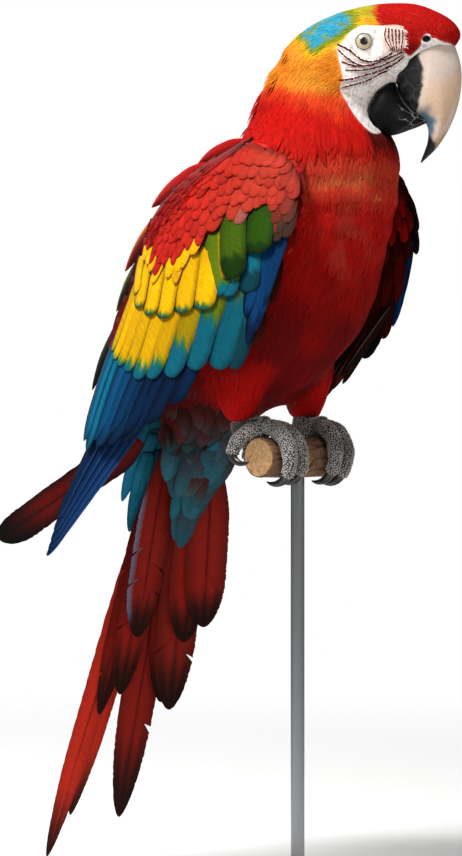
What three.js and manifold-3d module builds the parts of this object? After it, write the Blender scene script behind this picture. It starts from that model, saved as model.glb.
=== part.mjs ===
// A scarlet macaw at life size, as a still museum model: it grips a short length of branch that a plain
// stand carries. Millimetres, +Z up. +X is the way the bird's body faces, +Y its left side, and the origin
// lies on the floor under the middle of the perch. Nothing on it moves.
import * as THREE from "three";
import { mergeVertices } from "three/addons/utils/BufferGeometryUtils.js";
import Module from "manifold-3d";

const wasm = await Module();
wasm.setup();

// ---------------------------------------------------------------- driving dimensions
const GAP = 0.3; // clearance where two pieces meet
const SIDES = { right: -1, left: 1 }; // sign of Y

const DATUM = 384; // height over the floor of the bird's own frame, from which its heights are measured
const PERCH = { z: -2, radius: 18, rightEnd: -44.5, leftEnd: 52.5 }; // its axis runs along Y
const ROD = { radius: 6, y: 6, intoPerch: 12, intoBase: 10 };
const BASE = { x: -18, y: 6, radius: 140, thickness: 14, bevel: 3 };

// Trunk and neck: places along the spine in the bird's middle plane, with the half width and the reach to
// the breast side and to the back.
const SPINE = [
  { x: -140, z: 4, halfWidth: 27, front: 15, back: 14 },
  { x: -113, z: 38, halfWidth: 43, front: 34, back: 32 },
  { x: -76, z: 78, halfWidth: 58, front: 58, back: 53 },
  { x: -35, z: 118, halfWidth: 69, front: 77, back: 76 },
  { x: 2, z: 160, halfWidth: 73, front: 82, back: 94 },
  { x: 20, z: 205, halfWidth: 73, front: 76, back: 98 },
  { x: 28, z: 245, halfWidth: 69, front: 78, back: 84 },
  { x: 33, z: 282, halfWidth: 60, front: 68, back: 67 },
  { x: 42, z: 312, halfWidth: 48, front: 48, back: 58 },
  { x: 54, z: 336, halfWidth: 36, front: 34, back: 50 },
];
const NECK_CUTS = { base: 268, top: 312 }; // levels where the neck meets trunk and head

// Head, in its own frame: +X towards the forehead, +Z up, from the middle of the skull.
const HEAD = { x: 70, y: 8, z: 341, turnLeftDeg: 33 };
const SKULL = [
  { top: [-68, 6], bottom: [-62, -34], halfWidth: 16 },
  { top: [-50, 25], bottom: [-48, -56], halfWidth: 31 },
  { top: [-22, 39], bottom: [-24, -64], halfWidth: 36 },
  { top: [6, 46], bottom: [-2, -58], halfWidth: 36 },
  { top: [30, 47.5], bottom: [20, -31], halfWidth: 33 },
  { top: [50, 46], bottom: [42, -20], halfWidth: 30 },
  { top: [68, 40], bottom: [62, -8], halfWidth: 25 },
  { top: [82, 31], bottom: [77, 3], halfWidth: 19 },
  { top: [89, 20], bottom: [86, 11], halfWidth: 10 },
];
const EYE = { x: 9.5, y: 24.5, z: 12, radius: 10 };
const UPPER_BILL = [
  { top: [80.5, 12], bottom: [29, -16], halfWidth: 22 },
  { top: [87, -9], bottom: [36, -33], halfWidth: 21 },
  { top: [86.5, -32], bottom: [46, -47], halfWidth: 17.5 },
  { top: [80, -55], bottom: [57.5, -58], halfWidth: 12 },
  { top: [68, -76], bottom: [58.5, -72], halfWidth: 6.5 },
  { top: [53, -91], bottom: [52.5, -89.5], halfWidth: 1 },
];
const LOWER_BILL = [
  { top: [30, -21], bottom: [22, -23], halfWidth: 9 },
  { top: [35, -30], bottom: [8, -39], halfWidth: 18 },
  { top: [40, -39], bottom: [6, -58], halfWidth: 20 },
  { top: [46, -46], bottom: [24, -67], halfWidth: 17 },
  { top: [53, -51], bottom: [44, -62], halfWidth: 12 },
  { top: [58, -54], bottom: [57, -57], halfWidth: 5 },
];

// Wings: the front edge and the back edge of the folded wing, from the shoulder down to the ends of the
// secondaries, with y as the distance out from the middle plane.
const WING_FRONT = [
  [46, 60, 262],
  [65, 69, 236],
  [72, 76, 209],
  [66, 82, 178],
];
const WING_HEM = {
  right: [[44, 85, 124], [12, 84, 76], [-84, 79, 18]],
  left: [[46, 85, 130], [14, 84, 88], [-116, 79, 48]],
};
const WING_BACK = [
  [8, 58, 272],
  [-62, 62, 241],
  [-101, 65, 209],
  [-118, 69, 166],
  [-138, 73, 117],
  [-164, 76, 70],
  [-188, 76, 2],
];
const WING_BOW = 8; // how far the middle of the wing stands out from its edges
const WING_PARTS = [
  { name: "shoulder", from: 0, to: 0.5, thick: [16, 11] },
  { name: "coverts", from: 0.5, to: 0.83, thick: [11, 5] },
  { name: "secondaries", from: 0.83, to: 1, thick: [5, 2.4] },
];
const PRIMARIES = { count: 3, tip: [-231, 72, -96], halfWidth: 11 };
const PRIMARY_ROOTS = { right: [-90, 71, 38], left: [-118, 70, 54] };
const PRIMARY_STEP = { root: [-14, 0.9, 12], tip: [8, 0.9, 21] };
const SCAPULARS = [
  { root: [-20, 42, 269], tip: [-74, 43, 257], halfWidth: 8 },
  { root: [-56, 51, 249], tip: [-120, 54, 221], halfWidth: 11 },
  { root: [-92, 51, 220], tip: [-153, 55, 165], halfWidth: 13 },
  { root: [-112, 53, 186], tip: [-162, 57, 129], halfWidth: 12 },
  { root: [-140, 55, 130], tip: [-190, 60, 59], halfWidth: 12 },
];

// Tail: feathers fan from a short row of roots, and the whole tail is twisted a little, its left side
// forwards. fanDeg is positive to the bird's right, y is where the root sits, taper is how far the feather
// narrows along its length, and layer counts from the middle pair on the back outwards to the outer ones
// underneath.
const TAIL = { root: [-140, 0, 20], leanDeg: 22.5, twistDeg: 26, quillStart: 14, layerPitch: 2.2 };
const TAIL_FEATHERS = [
  { name: "r1", y: 5, fanDeg: 0.5, length: 433, halfWidth: 15, taper: 0.5, layer: 1 },
  { name: "l1", y: 8, fanDeg: -0.7, length: 389, halfWidth: 16, taper: 0.5, layer: 0 },
  { name: "r2", y: 0, fanDeg: -2, length: 284, halfWidth: 16, taper: 0.5, layer: 2 },
  { name: "l2", y: 10, fanDeg: -7.2, length: 385, halfWidth: 20, taper: 0.3, layer: 3 },
  { name: "r3", y: -3, fanDeg: -5.7, length: 234, halfWidth: 16, taper: 0.2, layer: 4 },
  { name: "l3", y: 15, fanDeg: -10.5, length: 265, halfWidth: 19, taper: 0.2, layer: 5 },
  { name: "r4", y: -6, fanDeg: -5.8, length: 259, halfWidth: 17, taper: 0.2, layer: 6 },
  { name: "l4", y: 20, fanDeg: -11, length: 270, halfWidth: 21, taper: 0.1, layer: 7 },
  { name: "r5", y: -9, fanDeg: -7.8, length: 200, halfWidth: 17, taper: 0.1, layer: 8 },
  { name: "l5", y: 26, fanDeg: -10.9, length: 199, halfWidth: 20, taper: 0.1, layer: 9 },
  { name: "l6", y: 32, fanDeg: -14.2, length: 182, halfWidth: 21, taper: 0.1, layer: 11 },
];
const STRAY_FEATHER = { root: [-152, -34, 12], tip: [-303, -64, -80], halfWidth: 17 }; // the outer right one
const TAIL_COVERTS = [
  { name: "under", y: 10, length: 122, halfWidth: 36, thick: 12 },
  { name: "upper", y: 4, length: 92, halfWidth: 30, thick: 11 },
];

// Legs: the feathered thigh, the short shank behind the perch, and toes that go round it. The feet stand a
// little to the left of the body's middle, and toe in.
const LEG = { y: 37, shift: 4, shankRadius: 8, ankle: [-29, 38, 22], hip: [-16, 50, 84] };
const TOE = { radius: 6.8, tipRadius: 5.2, topDeg: 98, clear: 1.5 };
const TOES = [
  { name: "front_inner", toDeg: -34, y: -6, tipY: -17, clawDeg: 62, clawOver: 2.5 },
  { name: "front_outer", toDeg: -40, y: 3, tipY: -2, clawDeg: 64, clawOver: 3 },
  { name: "rear_inner", toDeg: 186, y: -5, tipY: -4, clawDeg: 52, clawOver: 1.5 },
  { name: "rear_outer", toDeg: 176, y: 5, tipY: 17, clawDeg: 44, clawOver: -12 }, // past the perch's end
];
const CLAW = { radius: 4.6, tipRadius: 0.6 };

// ---------------------------------------------------------------- colours
const paint = (color, roughness = 0.75, metalness = 0) =>
  new THREE.MeshStandardMaterial({ color, roughness, metalness });
const FINISH = {
  scarlet: paint(0xc2281c),
  deepRed: paint(0x8e1f16),
  orange: paint(0xe07a24),
  yellow: paint(0xe8b80f),
  blue: paint(0x1c5fa0),
  teal: paint(0x2b7f95),
  ivory: paint(0xd9c6b2, 0.35),
  slate: paint(0x26282a, 0.4),
  iris: paint(0xcfc9a0, 0.1),
  scute: paint(0x77716e, 0.6),
  bark: paint(0x6a5240, 0.9),
  steel: paint(0x8c8f92, 0.35, 1),
  walnut: paint(0x4a3324, 0.5),
};

// ---------------------------------------------------------------- shapes
const radians = THREE.MathUtils.degToRad;
const at = (x, y, z) => new THREE.Vector3(x, y, z);
const sided = ([x, y, z], side) => at(x, side * y, z);

// A manifold solid from loose points and faces, turned so that its faces point out.
function solidOf(points, faces) {
  const vertProperties = new Float32Array(points.flatMap((p) => [p.x, p.y, p.z]));
  let volume = 0;
  for (let i = 0; i < faces.length; i += 3) {
    const [a, b, c] = [points[faces[i]], points[faces[i + 1]], points[faces[i + 2]]];
    volume += a.dot(b.clone().cross(c));
  }
  const order = volume < 0 ? faces.slice().reverse() : faces;
  return new wasm.Manifold(
    new wasm.Mesh({ numProp: 3, vertProperties, triVerts: new Uint32Array(order) }),
  );
}

// A closed skin over rings of points. Each ring holds an even number of points in the same order, and the
// two end rings are closed with a ladder of quads.
function skinOver(rings) {
  const count = rings[0].length;
  const faces = [];
  const quad = (a, b, c, d) => faces.push(a, b, c, a, c, d);
  for (let i = 0; i + 1 < rings.length; i++) {
    for (let j = 0; j < count; j++) {
      const next = (j + 1) % count;
      quad(i * count + j, i * count + next, (i + 1) * count + next, (i + 1) * count + j);
    }
  }
  const last = (rings.length - 1) * count;
  for (let j = 0; j < count / 2 - 1; j++) {
    quad(j, count - 1 - j, count - 2 - j, j + 1);
    quad(last + j, last + j + 1, last + count - 2 - j, last + count - 1 - j);
  }
  return solidOf(rings.flat(), faces);
}

// One ring: an ellipse whose two halves may reach differently along `front`.
function ellipse(centre, across, front, halfWidth, reachFront, reachBack, sides) {
  return Array.from({ length: sides }, (_, k) => {
    const turn = ((k + 0.5) / sides) * 2 * Math.PI;
    const reach = Math.sin(turn) > 0 ? reachFront : reachBack;
    return centre
      .clone()
      .addScaledVector(across, halfWidth * Math.cos(turn))
      .addScaledVector(front, reach * Math.sin(turn));
  });
}

const smoothThrough = (points) => new THREE.CatmullRomCurve3(points, false, "catmullrom", 0.5);

// A body between a top and a bottom line in its own XZ plane, with a half width at each place.
function loftBetween(stations, { rings, sides, grow = 0, place = new THREE.Matrix4() }) {
  const top = smoothThrough(stations.map((s) => new THREE.Vector3(s.top[0], 0, s.top[1])));
  const bottom = smoothThrough(stations.map((s) => new THREE.Vector3(s.bottom[0], 0, s.bottom[1])));
  const width = smoothThrough(stations.map((s) => new THREE.Vector3(s.halfWidth, 0, 0)));
  const across = new THREE.Vector3(0, 1, 0);
  const made = [];
  for (let i = 0; i < rings; i++) {
    const t = i / (rings - 1);
    const [a, b] = [top.getPoint(t), bottom.getPoint(t)];
    const up = a.clone().sub(b).normalize();
    const reach = a.distanceTo(b) / 2 + grow;
    const centre = a.clone().add(b).multiplyScalar(0.5);
    const ring = ellipse(centre, across, up, width.getPoint(t).x + grow, reach, reach, sides);
    made.push(ring.map((p) => p.applyMatrix4(place)));
  }
  return skinOver(made);
}

// A round limb along a line, with a radius at each of its points.
function limb(points, radii, { rings = 9, sides = 8, grow = 0 } = {}) {
  const line = smoothThrough(points);
  const frames = line.computeFrenetFrames(rings - 1, false);
  const size = smoothThrough(radii.map((r) => new THREE.Vector3(r, 0, 0)));
  return skinOver(
    Array.from({ length: rings }, (_, i) => {
      const t = i / (rings - 1);
      const r = size.getPointAt(t).x + grow;
      return ellipse(line.getPointAt(t), frames.binormals[i], frames.normals[i], r, r, r, sides);
    }),
  );
}

// Half width of a feather as a share of its widest, from the quill (0) to the tip (1).
function vaneShare(s, taper) {
  const swell = 0.55 + 0.45 * Math.sin(Math.min(s / 0.3, 1) * (Math.PI / 2));
  const round = Math.sqrt(Math.max(0, 1 - Math.max(0, (s - 0.84) / 0.16) ** 2));
  const lance = 1 - taper * 0.75 * Math.max(0, (s - 0.3) / 0.7);
  return swell * lance * Math.max(round, 0.08);
}

// A flat, slightly cupped feather from root to tip. `face` is the side that looks outwards.
function feather(root, tip, halfWidth, face, shape) {
  const { thickness = 1, bow = 0, cup = 0.5, rings = 8, taper = 0 } = shape;
  const along = tip.clone().sub(root);
  const across = new THREE.Vector3().crossVectors(along, face).normalize();
  const out = new THREE.Vector3().crossVectors(across, along).normalize();
  return skinOver(
    Array.from({ length: rings }, (_, i) => {
      const s = 1 - (1 - i / (rings - 1)) ** 1.5; // closer rings at the round tip
      const middle = root.clone().addScaledVector(along, s);
      middle.addScaledVector(out, bow * Math.sin(Math.PI * s));
      const w = halfWidth * vaneShare(s, taper);
      const corner = (y, h) =>
        middle
          .clone()
          .addScaledVector(across, y * w)
          .addScaledVector(out, h - cup * Math.abs(y) * (w / halfWidth));
      const half = thickness / 2;
      return [
        corner(-1, half), corner(0, half), corner(1, half),
        corner(1, -half), corner(0, -half), corner(-1, -half),
      ];
    }),
  );
}

// ---------------------------------------------------------------- flesh
function trunkAndNeck(grow = 0) {
  const line = smoothThrough(SPINE.map((s) => new THREE.Vector3(s.x, 0, s.z)));
  const stations = SPINE.map((s, i) => {
    const tangent = line.getTangent(i / (SPINE.length - 1));
    return {
      top: [s.x - s.back * tangent.z, s.z + s.back * tangent.x],
      bottom: [s.x + s.front * tangent.z, s.z - s.front * tangent.x],
      halfWidth: s.halfWidth,
    };
  });
  return loftBetween(stations, { rings: 18, sides: 16, grow });
}

const headFrame = new THREE.Matrix4()
  .makeRotationZ(radians(HEAD.turnLeftDeg))
  .setPosition(HEAD.x, HEAD.y, HEAD.z);

const skull = () => loftBetween(SKULL, { rings: 12, sides: 12, place: headFrame });
const upperBill = (grow = 0) => loftBetween(UPPER_BILL, { rings: 11, sides: 10, grow, place: headFrame });
const lowerBill = (grow = 0) => loftBetween(LOWER_BILL, { rings: 8, sides: 10, grow, place: headFrame });

function solidFromGeometry(geometry) {
  geometry.deleteAttribute("normal");
  geometry.deleteAttribute("uv");
  const merged = mergeVertices(geometry, 1e-3);
  const place = merged.getAttribute("position");
  const points = Array.from({ length: place.count }, (_, i) =>
    new THREE.Vector3().fromBufferAttribute(place, i),
  );
  return solidOf(points, Array.from(merged.index.array));
}

function eye(side, grow = 0) {
  const ball = new THREE.SphereGeometry(EYE.radius + grow, 12, 7);
  const centre = new THREE.Vector3(EYE.x, side * EYE.y, EYE.z).applyMatrix4(headFrame);
  return solidFromGeometry(ball.translate(centre.x, centre.y, centre.z));
}

// A thin level cut through the flesh.
function levelCut(z) {
  const slab = new THREE.BoxGeometry(400, 400, GAP);
  return solidFromGeometry(slab.translate(0, 0, z));
}

// The largest of the pieces that a cut leaves, which drops any sliver.
function largest(solid) {
  return solid.decompose().reduce((a, b) => (a.volume() > b.volume() ? a : b));
}

// ---------------------------------------------------------------- wings
const edgeCurve = (edge, side) => smoothThrough(edge.map((p) => sided(p, side)));
const wordFor = (side) => (side < 0 ? "right" : "left");

// The wing between two shares of its length, as a sheet that is thick at the front and thin behind.
function wingPart(side, part) {
  const front = edgeCurve([...WING_FRONT, ...WING_HEM[wordFor(side)]], side);
  const back = edgeCurve(WING_BACK, side);
  const out = new THREE.Vector3(0, side, 0);
  const [rings, columns] = [Math.round(3 + 9 * (part.to - part.from)), 6];
  const length = part.to - part.from;
  return skinOver(
    Array.from({ length: rings }, (_, i) => {
      const s = i / (rings - 1);
      const t = part.from + (part.to === 1 ? length : length - 0.003) * s;
      const [a, b] = [front.getPoint(t), back.getPoint(t)];
      const thick = THREE.MathUtils.lerp(part.thick[0], part.thick[1], s);
      const point = (v, outer) => {
        const arch = Math.sin(Math.PI * v);
        const edge = 0.25 + 0.75 * Math.sqrt(arch);
        return a
          .clone()
          .lerp(b, v)
          .addScaledVector(out, WING_BOW * arch + (outer ? 0.5 : -0.5) * thick * edge);
      };
      const shares = Array.from({ length: columns }, (_, k) => k / (columns - 1));
      return [
        ...shares.map((v) => point(v, true)),
        ...shares.toReversed().map((v) => point(v, false)),
      ];
    }),
  );
}

// The long blue feathers under the secondaries, joined into one piece at their roots.
function primaries(side) {
  const out = new THREE.Vector3(0, side, 0);
  const stepped = (place, step, i) => sided(place.map((value, axis) => value + i * step[axis]), side);
  const made = Array.from({ length: PRIMARIES.count }, (_, i) => {
    const root = stepped(PRIMARY_ROOTS[wordFor(side)], PRIMARY_STEP.root, i);
    const tip = stepped(PRIMARIES.tip, PRIMARY_STEP.tip, i);
    return feather(root, tip, PRIMARIES.halfWidth, out, { thickness: 1.6, bow: 2, rings: 6, taper: 1 });
  });
  return made.reduce((a, b) => a.add(b));
}

function scapulars(side) {
  const out = new THREE.Vector3(-0.25, side * 0.9, 0.25);
  const shape = { thickness: 1.6, bow: 2, cup: 1, rings: 6 };
  return SCAPULARS.map((f) => feather(sided(f.root, side), sided(f.tip, side), f.halfWidth, out, shape));
}

// ---------------------------------------------------------------- tail
const tailLean = radians(TAIL.leanDeg);
const tailTwist = radians(TAIL.twistDeg);
const tailDown = new THREE.Vector3(-Math.sin(tailLean), 0, -Math.cos(tailLean));
const tailAcross = new THREE.Vector3(Math.sin(tailTwist), Math.cos(tailTwist), 0);
tailAcross.addScaledVector(tailDown, -tailAcross.dot(tailDown)).normalize(); // to the bird's left
const tailUnder = new THREE.Vector3().crossVectors(tailDown, tailAcross);

function tailFeather({ y, fanDeg, length, halfWidth, taper, layer }) {
  const fan = radians(fanDeg);
  const along = tailDown.clone().multiplyScalar(Math.cos(fan));
  along.addScaledVector(tailAcross, -Math.sin(fan));
  const origin = at(...TAIL.root).addScaledVector(tailAcross, y);
  origin.addScaledVector(tailUnder, (layer - 5.5) * TAIL.layerPitch);
  const root = origin.clone().addScaledVector(along, TAIL.quillStart);
  const tip = origin.clone().addScaledVector(along, length);
  return feather(root, tip, halfWidth, tailUnder.clone().negate(), { taper });
}

// The outer right feather stands out from the fan, with its underside half towards the bird's right.
function strayFeather(grow = 0) {
  const up = new THREE.Vector3(-0.5, 0.5, 0.5);
  const [root, tip] = [at(...STRAY_FEATHER.root), at(...STRAY_FEATHER.tip)];
  return feather(root, tip, STRAY_FEATHER.halfWidth + grow, up, { thickness: 1 + 2 * grow });
}

// The wedge of small feathers that covers the tail's roots, on the side that `out` points to.
function tailCoverts({ y, length, halfWidth, thick }, out) {
  const start = at(...TAIL.root).addScaledVector(out, 6 * TAIL.layerPitch + 1.4);
  start.addScaledVector(tailAcross, y).addScaledVector(tailDown, -6);
  const rings = 7;
  return skinOver(
    Array.from({ length: rings }, (_, i) => {
      const s = i / (rings - 1);
      const centre = start.clone().addScaledVector(tailDown, length * s);
      const w = halfWidth * Math.max(0.06, Math.cos((s * Math.PI) / 2) ** 0.7);
      const t = thick * (1 - 0.85 * s);
      return ellipse(centre, tailAcross, out, w, t, 0.3, 12);
    }),
  );
}

// ---------------------------------------------------------------- legs
const footY = (side, y = 0) => side * (LEG.y + y) + LEG.shift;
const overPerch = (deg, radius, y) =>
  at(radius * Math.cos(radians(deg)), y, PERCH.z + radius * Math.sin(radians(deg)));
const toeReach = PERCH.radius + TOE.clear + TOE.radius;

function toeLine(side, toe) {
  const steps = 6;
  return Array.from({ length: steps + 1 }, (_, i) => {
    const s = i / steps;
    const y = THREE.MathUtils.lerp(toe.y * 0.6, toe.tipY, s) + (toe.y * Math.sin(Math.PI * s)) / 3;
    return overPerch(THREE.MathUtils.lerp(TOE.topDeg, toe.toDeg, s), toeReach, footY(side, y));
  });
}

// A claw carries on round the perch from the end of its toe, and comes close to the bark at its point.
function claw(side, toe, grow = 0) {
  const turn = Math.sign(toe.toDeg - TOE.topDeg);
  const steps = 4;
  const line = Array.from({ length: steps + 1 }, (_, i) => {
    const s = i / steps;
    const out = THREE.MathUtils.lerp(toeReach, PERCH.radius + toe.clawOver, s ** 1.6);
    return overPerch(toe.toDeg + turn * (toe.clawDeg * s - 6), out, footY(side, toe.tipY));
  });
  const radii = [1, 0.84, 0.62, 0.36, 0].map((r) => CLAW.tipRadius + r * (CLAW.radius - CLAW.tipRadius));
  return limb(line, radii, { rings: 6, sides: 6, grow });
}

function shank(side, grow = 0) {
  const foot = overPerch(TOE.topDeg - 14, toeReach + 1, footY(side));
  const ankle = at(LEG.ankle[0], footY(side, 2), LEG.ankle[2]);
  const knee = at(-24, side * 42 + LEG.shift / 2, 46);
  const middle = ankle.clone().lerp(foot, 0.5);
  middle.z += 5;
  const radii = [7, LEG.shankRadius, LEG.shankRadius + 1, LEG.shankRadius + 1.5];
  return limb([knee, ankle, middle, foot], radii, { rings: 6, sides: 6, grow });
}

function foot(side) {
  const radii = [TOE.radius, TOE.radius, TOE.radius, TOE.tipRadius + 1, TOE.tipRadius];
  const toes = TOES.map((toe) => limb(toeLine(side, toe), radii, { rings: 7, sides: 6 }));
  const joined = toes.reduce((a, b) => a.add(b), shank(side));
  return TOES.reduce((a, toe) => a.subtract(claw(side, toe, GAP)), joined);
}

function thigh(side, body) {
  const knee = [LEG.ankle[0] + 4, LEG.ankle[1] + 6, LEG.ankle[2] + 30];
  const end = at(LEG.ankle[0] + 1, footY(side, 2), LEG.ankle[2] + 3);
  const points = [sided(LEG.hip, side), sided(knee, side), end];
  const whole = limb(points, [30, 21, 8], { rings: 7, sides: 10 });
  return largest(whole.subtract(body).subtract(shank(side, GAP)));
}

// ---------------------------------------------------------------- stand
function rod(grow = 0) {
  const low = BASE.thickness - ROD.intoBase - grow;
  const high = DATUM + PERCH.z - PERCH.radius + ROD.intoPerch + grow;
  const shape = new THREE.CylinderGeometry(ROD.radius + grow, ROD.radius + grow, high - low, 20);
  return solidFromGeometry(shape.rotateX(Math.PI / 2).translate(0, ROD.y, (low + high) / 2));
}

function perch() {
  const length = PERCH.leftEnd - PERCH.rightEnd;
  const branch = new THREE.CylinderGeometry(PERCH.radius, PERCH.radius, length, 24);
  branch.translate(0, (PERCH.leftEnd + PERCH.rightEnd) / 2, 0);
  return solidFromGeometry(branch.translate(0, 0, DATUM + PERCH.z)).subtract(rod(GAP));
}

function base() {
  const { x, y, radius, thickness, bevel } = BASE;
  const profile = [
    [0, 0], [radius, 0], [radius, thickness - bevel], [radius - bevel, thickness], [0, thickness],
  ].map(([r, z]) => new THREE.Vector2(r, z));
  const disc = new THREE.LatheGeometry(profile, 32).rotateX(Math.PI / 2);
  return solidFromGeometry(disc.translate(x, y, 0)).subtract(rod(GAP));
}

// ---------------------------------------------------------------- assembly
const macaw = new THREE.Group();
const bird = new THREE.Group();
const stand = new THREE.Group();
bird.position.z = DATUM;
macaw.add(bird, stand);

function addPiece(group, name, solid, material) {
  const mesh = solid.getMesh();
  const geometry = new THREE.BufferGeometry();
  geometry.setAttribute("position", new THREE.BufferAttribute(mesh.vertProperties, 3));
  geometry.setIndex(new THREE.BufferAttribute(mesh.triVerts, 1));
  geometry.computeVertexNormals();
  const piece = new THREE.Mesh(geometry, material);
  piece.name = name;
  group.add(piece);
}

const grownBody = trunkAndNeck(GAP);
const cuts = levelCut(NECK_CUTS.base).add(levelCut(NECK_CUTS.top));
const flesh = trunkAndNeck()
  .add(skull())
  .subtract(upperBill(GAP))
  .subtract(lowerBill(GAP))
  .subtract(eye(SIDES.right, GAP))
  .subtract(eye(SIDES.left, GAP));
const lengths = flesh.subtract(cuts).decompose().filter((piece) => piece.volume() > 1000);
lengths.sort((a, b) => a.boundingBox().min[2] - b.boundingBox().min[2]);
const [trunk, neck, head] = lengths;
addPiece(bird, "trunk", trunk, FINISH.scarlet);
addPiece(bird, "neck", neck, FINISH.orange);
addPiece(bird, "head", head, FINISH.scarlet);
addPiece(bird, "bill_upper", upperBill(), FINISH.ivory);
addPiece(bird, "bill_lower", lowerBill().subtract(upperBill(GAP)), FINISH.slate);

for (const [word, side] of Object.entries(SIDES)) {
  addPiece(bird, `eye_${word}`, eye(side), FINISH.iris);
  const finishes = [FINISH.scarlet, FINISH.yellow, FINISH.blue];
  WING_PARTS.forEach((part, i) => {
    const made = largest(wingPart(side, part).subtract(grownBody));
    addPiece(bird, `wing_${word}_${part.name}`, made, finishes[i]);
  });
  addPiece(bird, `wing_${word}_primaries`, primaries(side), FINISH.blue);
  scapulars(side).forEach((solid, i) => {
    addPiece(bird, `scapular_${word}_${i + 1}`, largest(solid.subtract(grownBody)), FINISH.deepRed);
  });
  addPiece(bird, `thigh_${word}`, thigh(side, grownBody), FINISH.scarlet);
  addPiece(bird, `foot_${word}`, foot(side), FINISH.scute);
  TOES.forEach((toe) => {
    addPiece(bird, `claw_${word}_${toe.name}`, claw(side, toe), FINISH.slate);
  });
}

TAIL_FEATHERS.forEach((f) => {
  addPiece(bird, `tail_${f.name}`, largest(tailFeather(f).subtract(grownBody)), FINISH.deepRed);
});
addPiece(bird, "tail_r6", largest(strayFeather().subtract(grownBody)), FINISH.deepRed);
for (const coverts of TAIL_COVERTS) {
  const out = tailUnder.clone().multiplyScalar(coverts.name === "under" ? 1 : -1);
  const wedge = tailCoverts(coverts, out).subtract(grownBody).subtract(strayFeather(GAP));
  addPiece(bird, `tail_coverts_${coverts.name}`, largest(wedge), FINISH.teal);
}

addPiece(stand, "stand_perch", perch(), FINISH.bark);
addPiece(stand, "stand_rod", rod(), FINISH.steel);
addPiece(stand, "stand_base", base(), FINISH.walnut);

export default macaw;
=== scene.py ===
"""A life-size scarlet macaw gripping a short branch on a plain display stand.

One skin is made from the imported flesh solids, and the coat is laid on it vane by vane: soft body plumage
follows a flow over the skin, and the quills of wing and tail lie in rows. Lengths are millimetres in the
bird's own frame (+X the way it faces, +Y its left, heights from the frame's zero at perch level) until a
piece is made, where they become metres over the floor.
"""

from math import cos, pi, radians, sin

import bmesh
import bpy
import numpy as np
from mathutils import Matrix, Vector
from mathutils.bvhtree import BVHTree
from mathutils.kdtree import KDTree


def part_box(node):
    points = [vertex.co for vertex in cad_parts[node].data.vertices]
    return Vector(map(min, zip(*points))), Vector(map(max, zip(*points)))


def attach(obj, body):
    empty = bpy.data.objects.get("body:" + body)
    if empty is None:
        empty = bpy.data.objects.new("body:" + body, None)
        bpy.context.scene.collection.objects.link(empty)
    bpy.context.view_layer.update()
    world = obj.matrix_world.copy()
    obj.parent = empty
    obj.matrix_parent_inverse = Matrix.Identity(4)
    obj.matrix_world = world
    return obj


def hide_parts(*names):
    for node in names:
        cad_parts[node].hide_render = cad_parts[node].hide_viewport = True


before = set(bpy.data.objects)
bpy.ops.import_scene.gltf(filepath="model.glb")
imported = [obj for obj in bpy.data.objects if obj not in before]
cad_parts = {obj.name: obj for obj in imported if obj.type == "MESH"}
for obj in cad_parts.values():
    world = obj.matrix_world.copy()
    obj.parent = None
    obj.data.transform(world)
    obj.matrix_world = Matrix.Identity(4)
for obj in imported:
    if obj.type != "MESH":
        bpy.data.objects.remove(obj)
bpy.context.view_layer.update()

# ------------------------------------------------------------------ driving sizes
MM = 0.001
PERCH_LOW, PERCH_HIGH = (np.array(corner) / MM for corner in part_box("stand_perch"))
PERCH_Z = -2.0  # the perch's axis in the bird's frame
FLOOR = PERCH_Z - (PERCH_LOW[2] + PERCH_HIGH[2]) / 2  # the floor in the bird's frame
PERCH_RADIUS = (PERCH_HIGH[2] - PERCH_LOW[2]) / 2
RIGHT, LEFT = -1, 1
SIDES = ((RIGHT, "right"), (LEFT, "left"))

HEAD_CENTRE = np.array([70.0, 8.0, 341.0])
HEAD_TURN = radians(33)
HEAD_FRONT = np.array([cos(HEAD_TURN), sin(HEAD_TURN), 0])
HEAD_LEFT = np.array([-sin(HEAD_TURN), cos(HEAD_TURN), 0])
EYE = {"x": 6.6, "y": 25.2, "z": 10.4, "radius": 10.0, "opening": 6.9, "forward_deg": 10}

# The middle line of body and neck, from the tail's root up to the head, in the XZ plane.
SPINE = [(-140, 4), (-113, 38), (-76, 78), (-35, 118), (2, 160), (20, 205), (28, 245), (33, 282), (42, 312),
         (54, 336)]

# Folded wing: front edge, lower edge (by side) and back edge, with y as the distance from the middle plane.
WING_FRONT = [(46, 60, 262), (65, 69, 236), (72, 76, 209), (66, 82, 178)]
WING_HEM = {RIGHT: [(44, 85, 124), (12, 84, 76), (-84, 79, 18)],
            LEFT: [(46, 85, 130), (14, 84, 88), (-116, 79, 48)]}
WING_BACK = [(8, 58, 272), (-62, 62, 241), (-101, 65, 209), (-118, 69, 166), (-138, 73, 117), (-164, 76, 70),
             (-188, 76, 2)]
WING_BOW = 8
WING_THICK = [(0, 16), (0.5, 11), (0.83, 5), (1, 2.4)]  # (share down the wing, mm)

TAIL_ROOT = np.array([-140.0, 0.0, 20.0])
TAIL_LEAN, TAIL_TWIST = radians(22.5), radians(26)

CAMERA = {"azimuth_deg": 43, "distance": 3000, "mm_per_pixel": 0.87, "frame_px": (462, 856)}
PERCH_MIDDLE_PX = (293, 455)  # the pixel, from the frame's top left, at which the frame's zero falls
CAMERA_RIGHT = np.array([cos(radians(CAMERA["azimuth_deg"])), sin(radians(CAMERA["azimuth_deg"])), 0])

# ------------------------------------------------------------------ small mathematics


def unit(v):
    return v / np.maximum(np.linalg.norm(v, axis=-1, keepdims=True), 1e-9)


def smooth(low, high, x):
    """0 below low, 1 above high, with soft ends."""
    t = np.clip((x - low) / (high - low), 0, 1)
    return t * t * (3 - 2 * t)


def bell(x, width):
    """1 where x is 0, falling off softly over the width."""
    return np.exp(-((x / width) ** 2))


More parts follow.
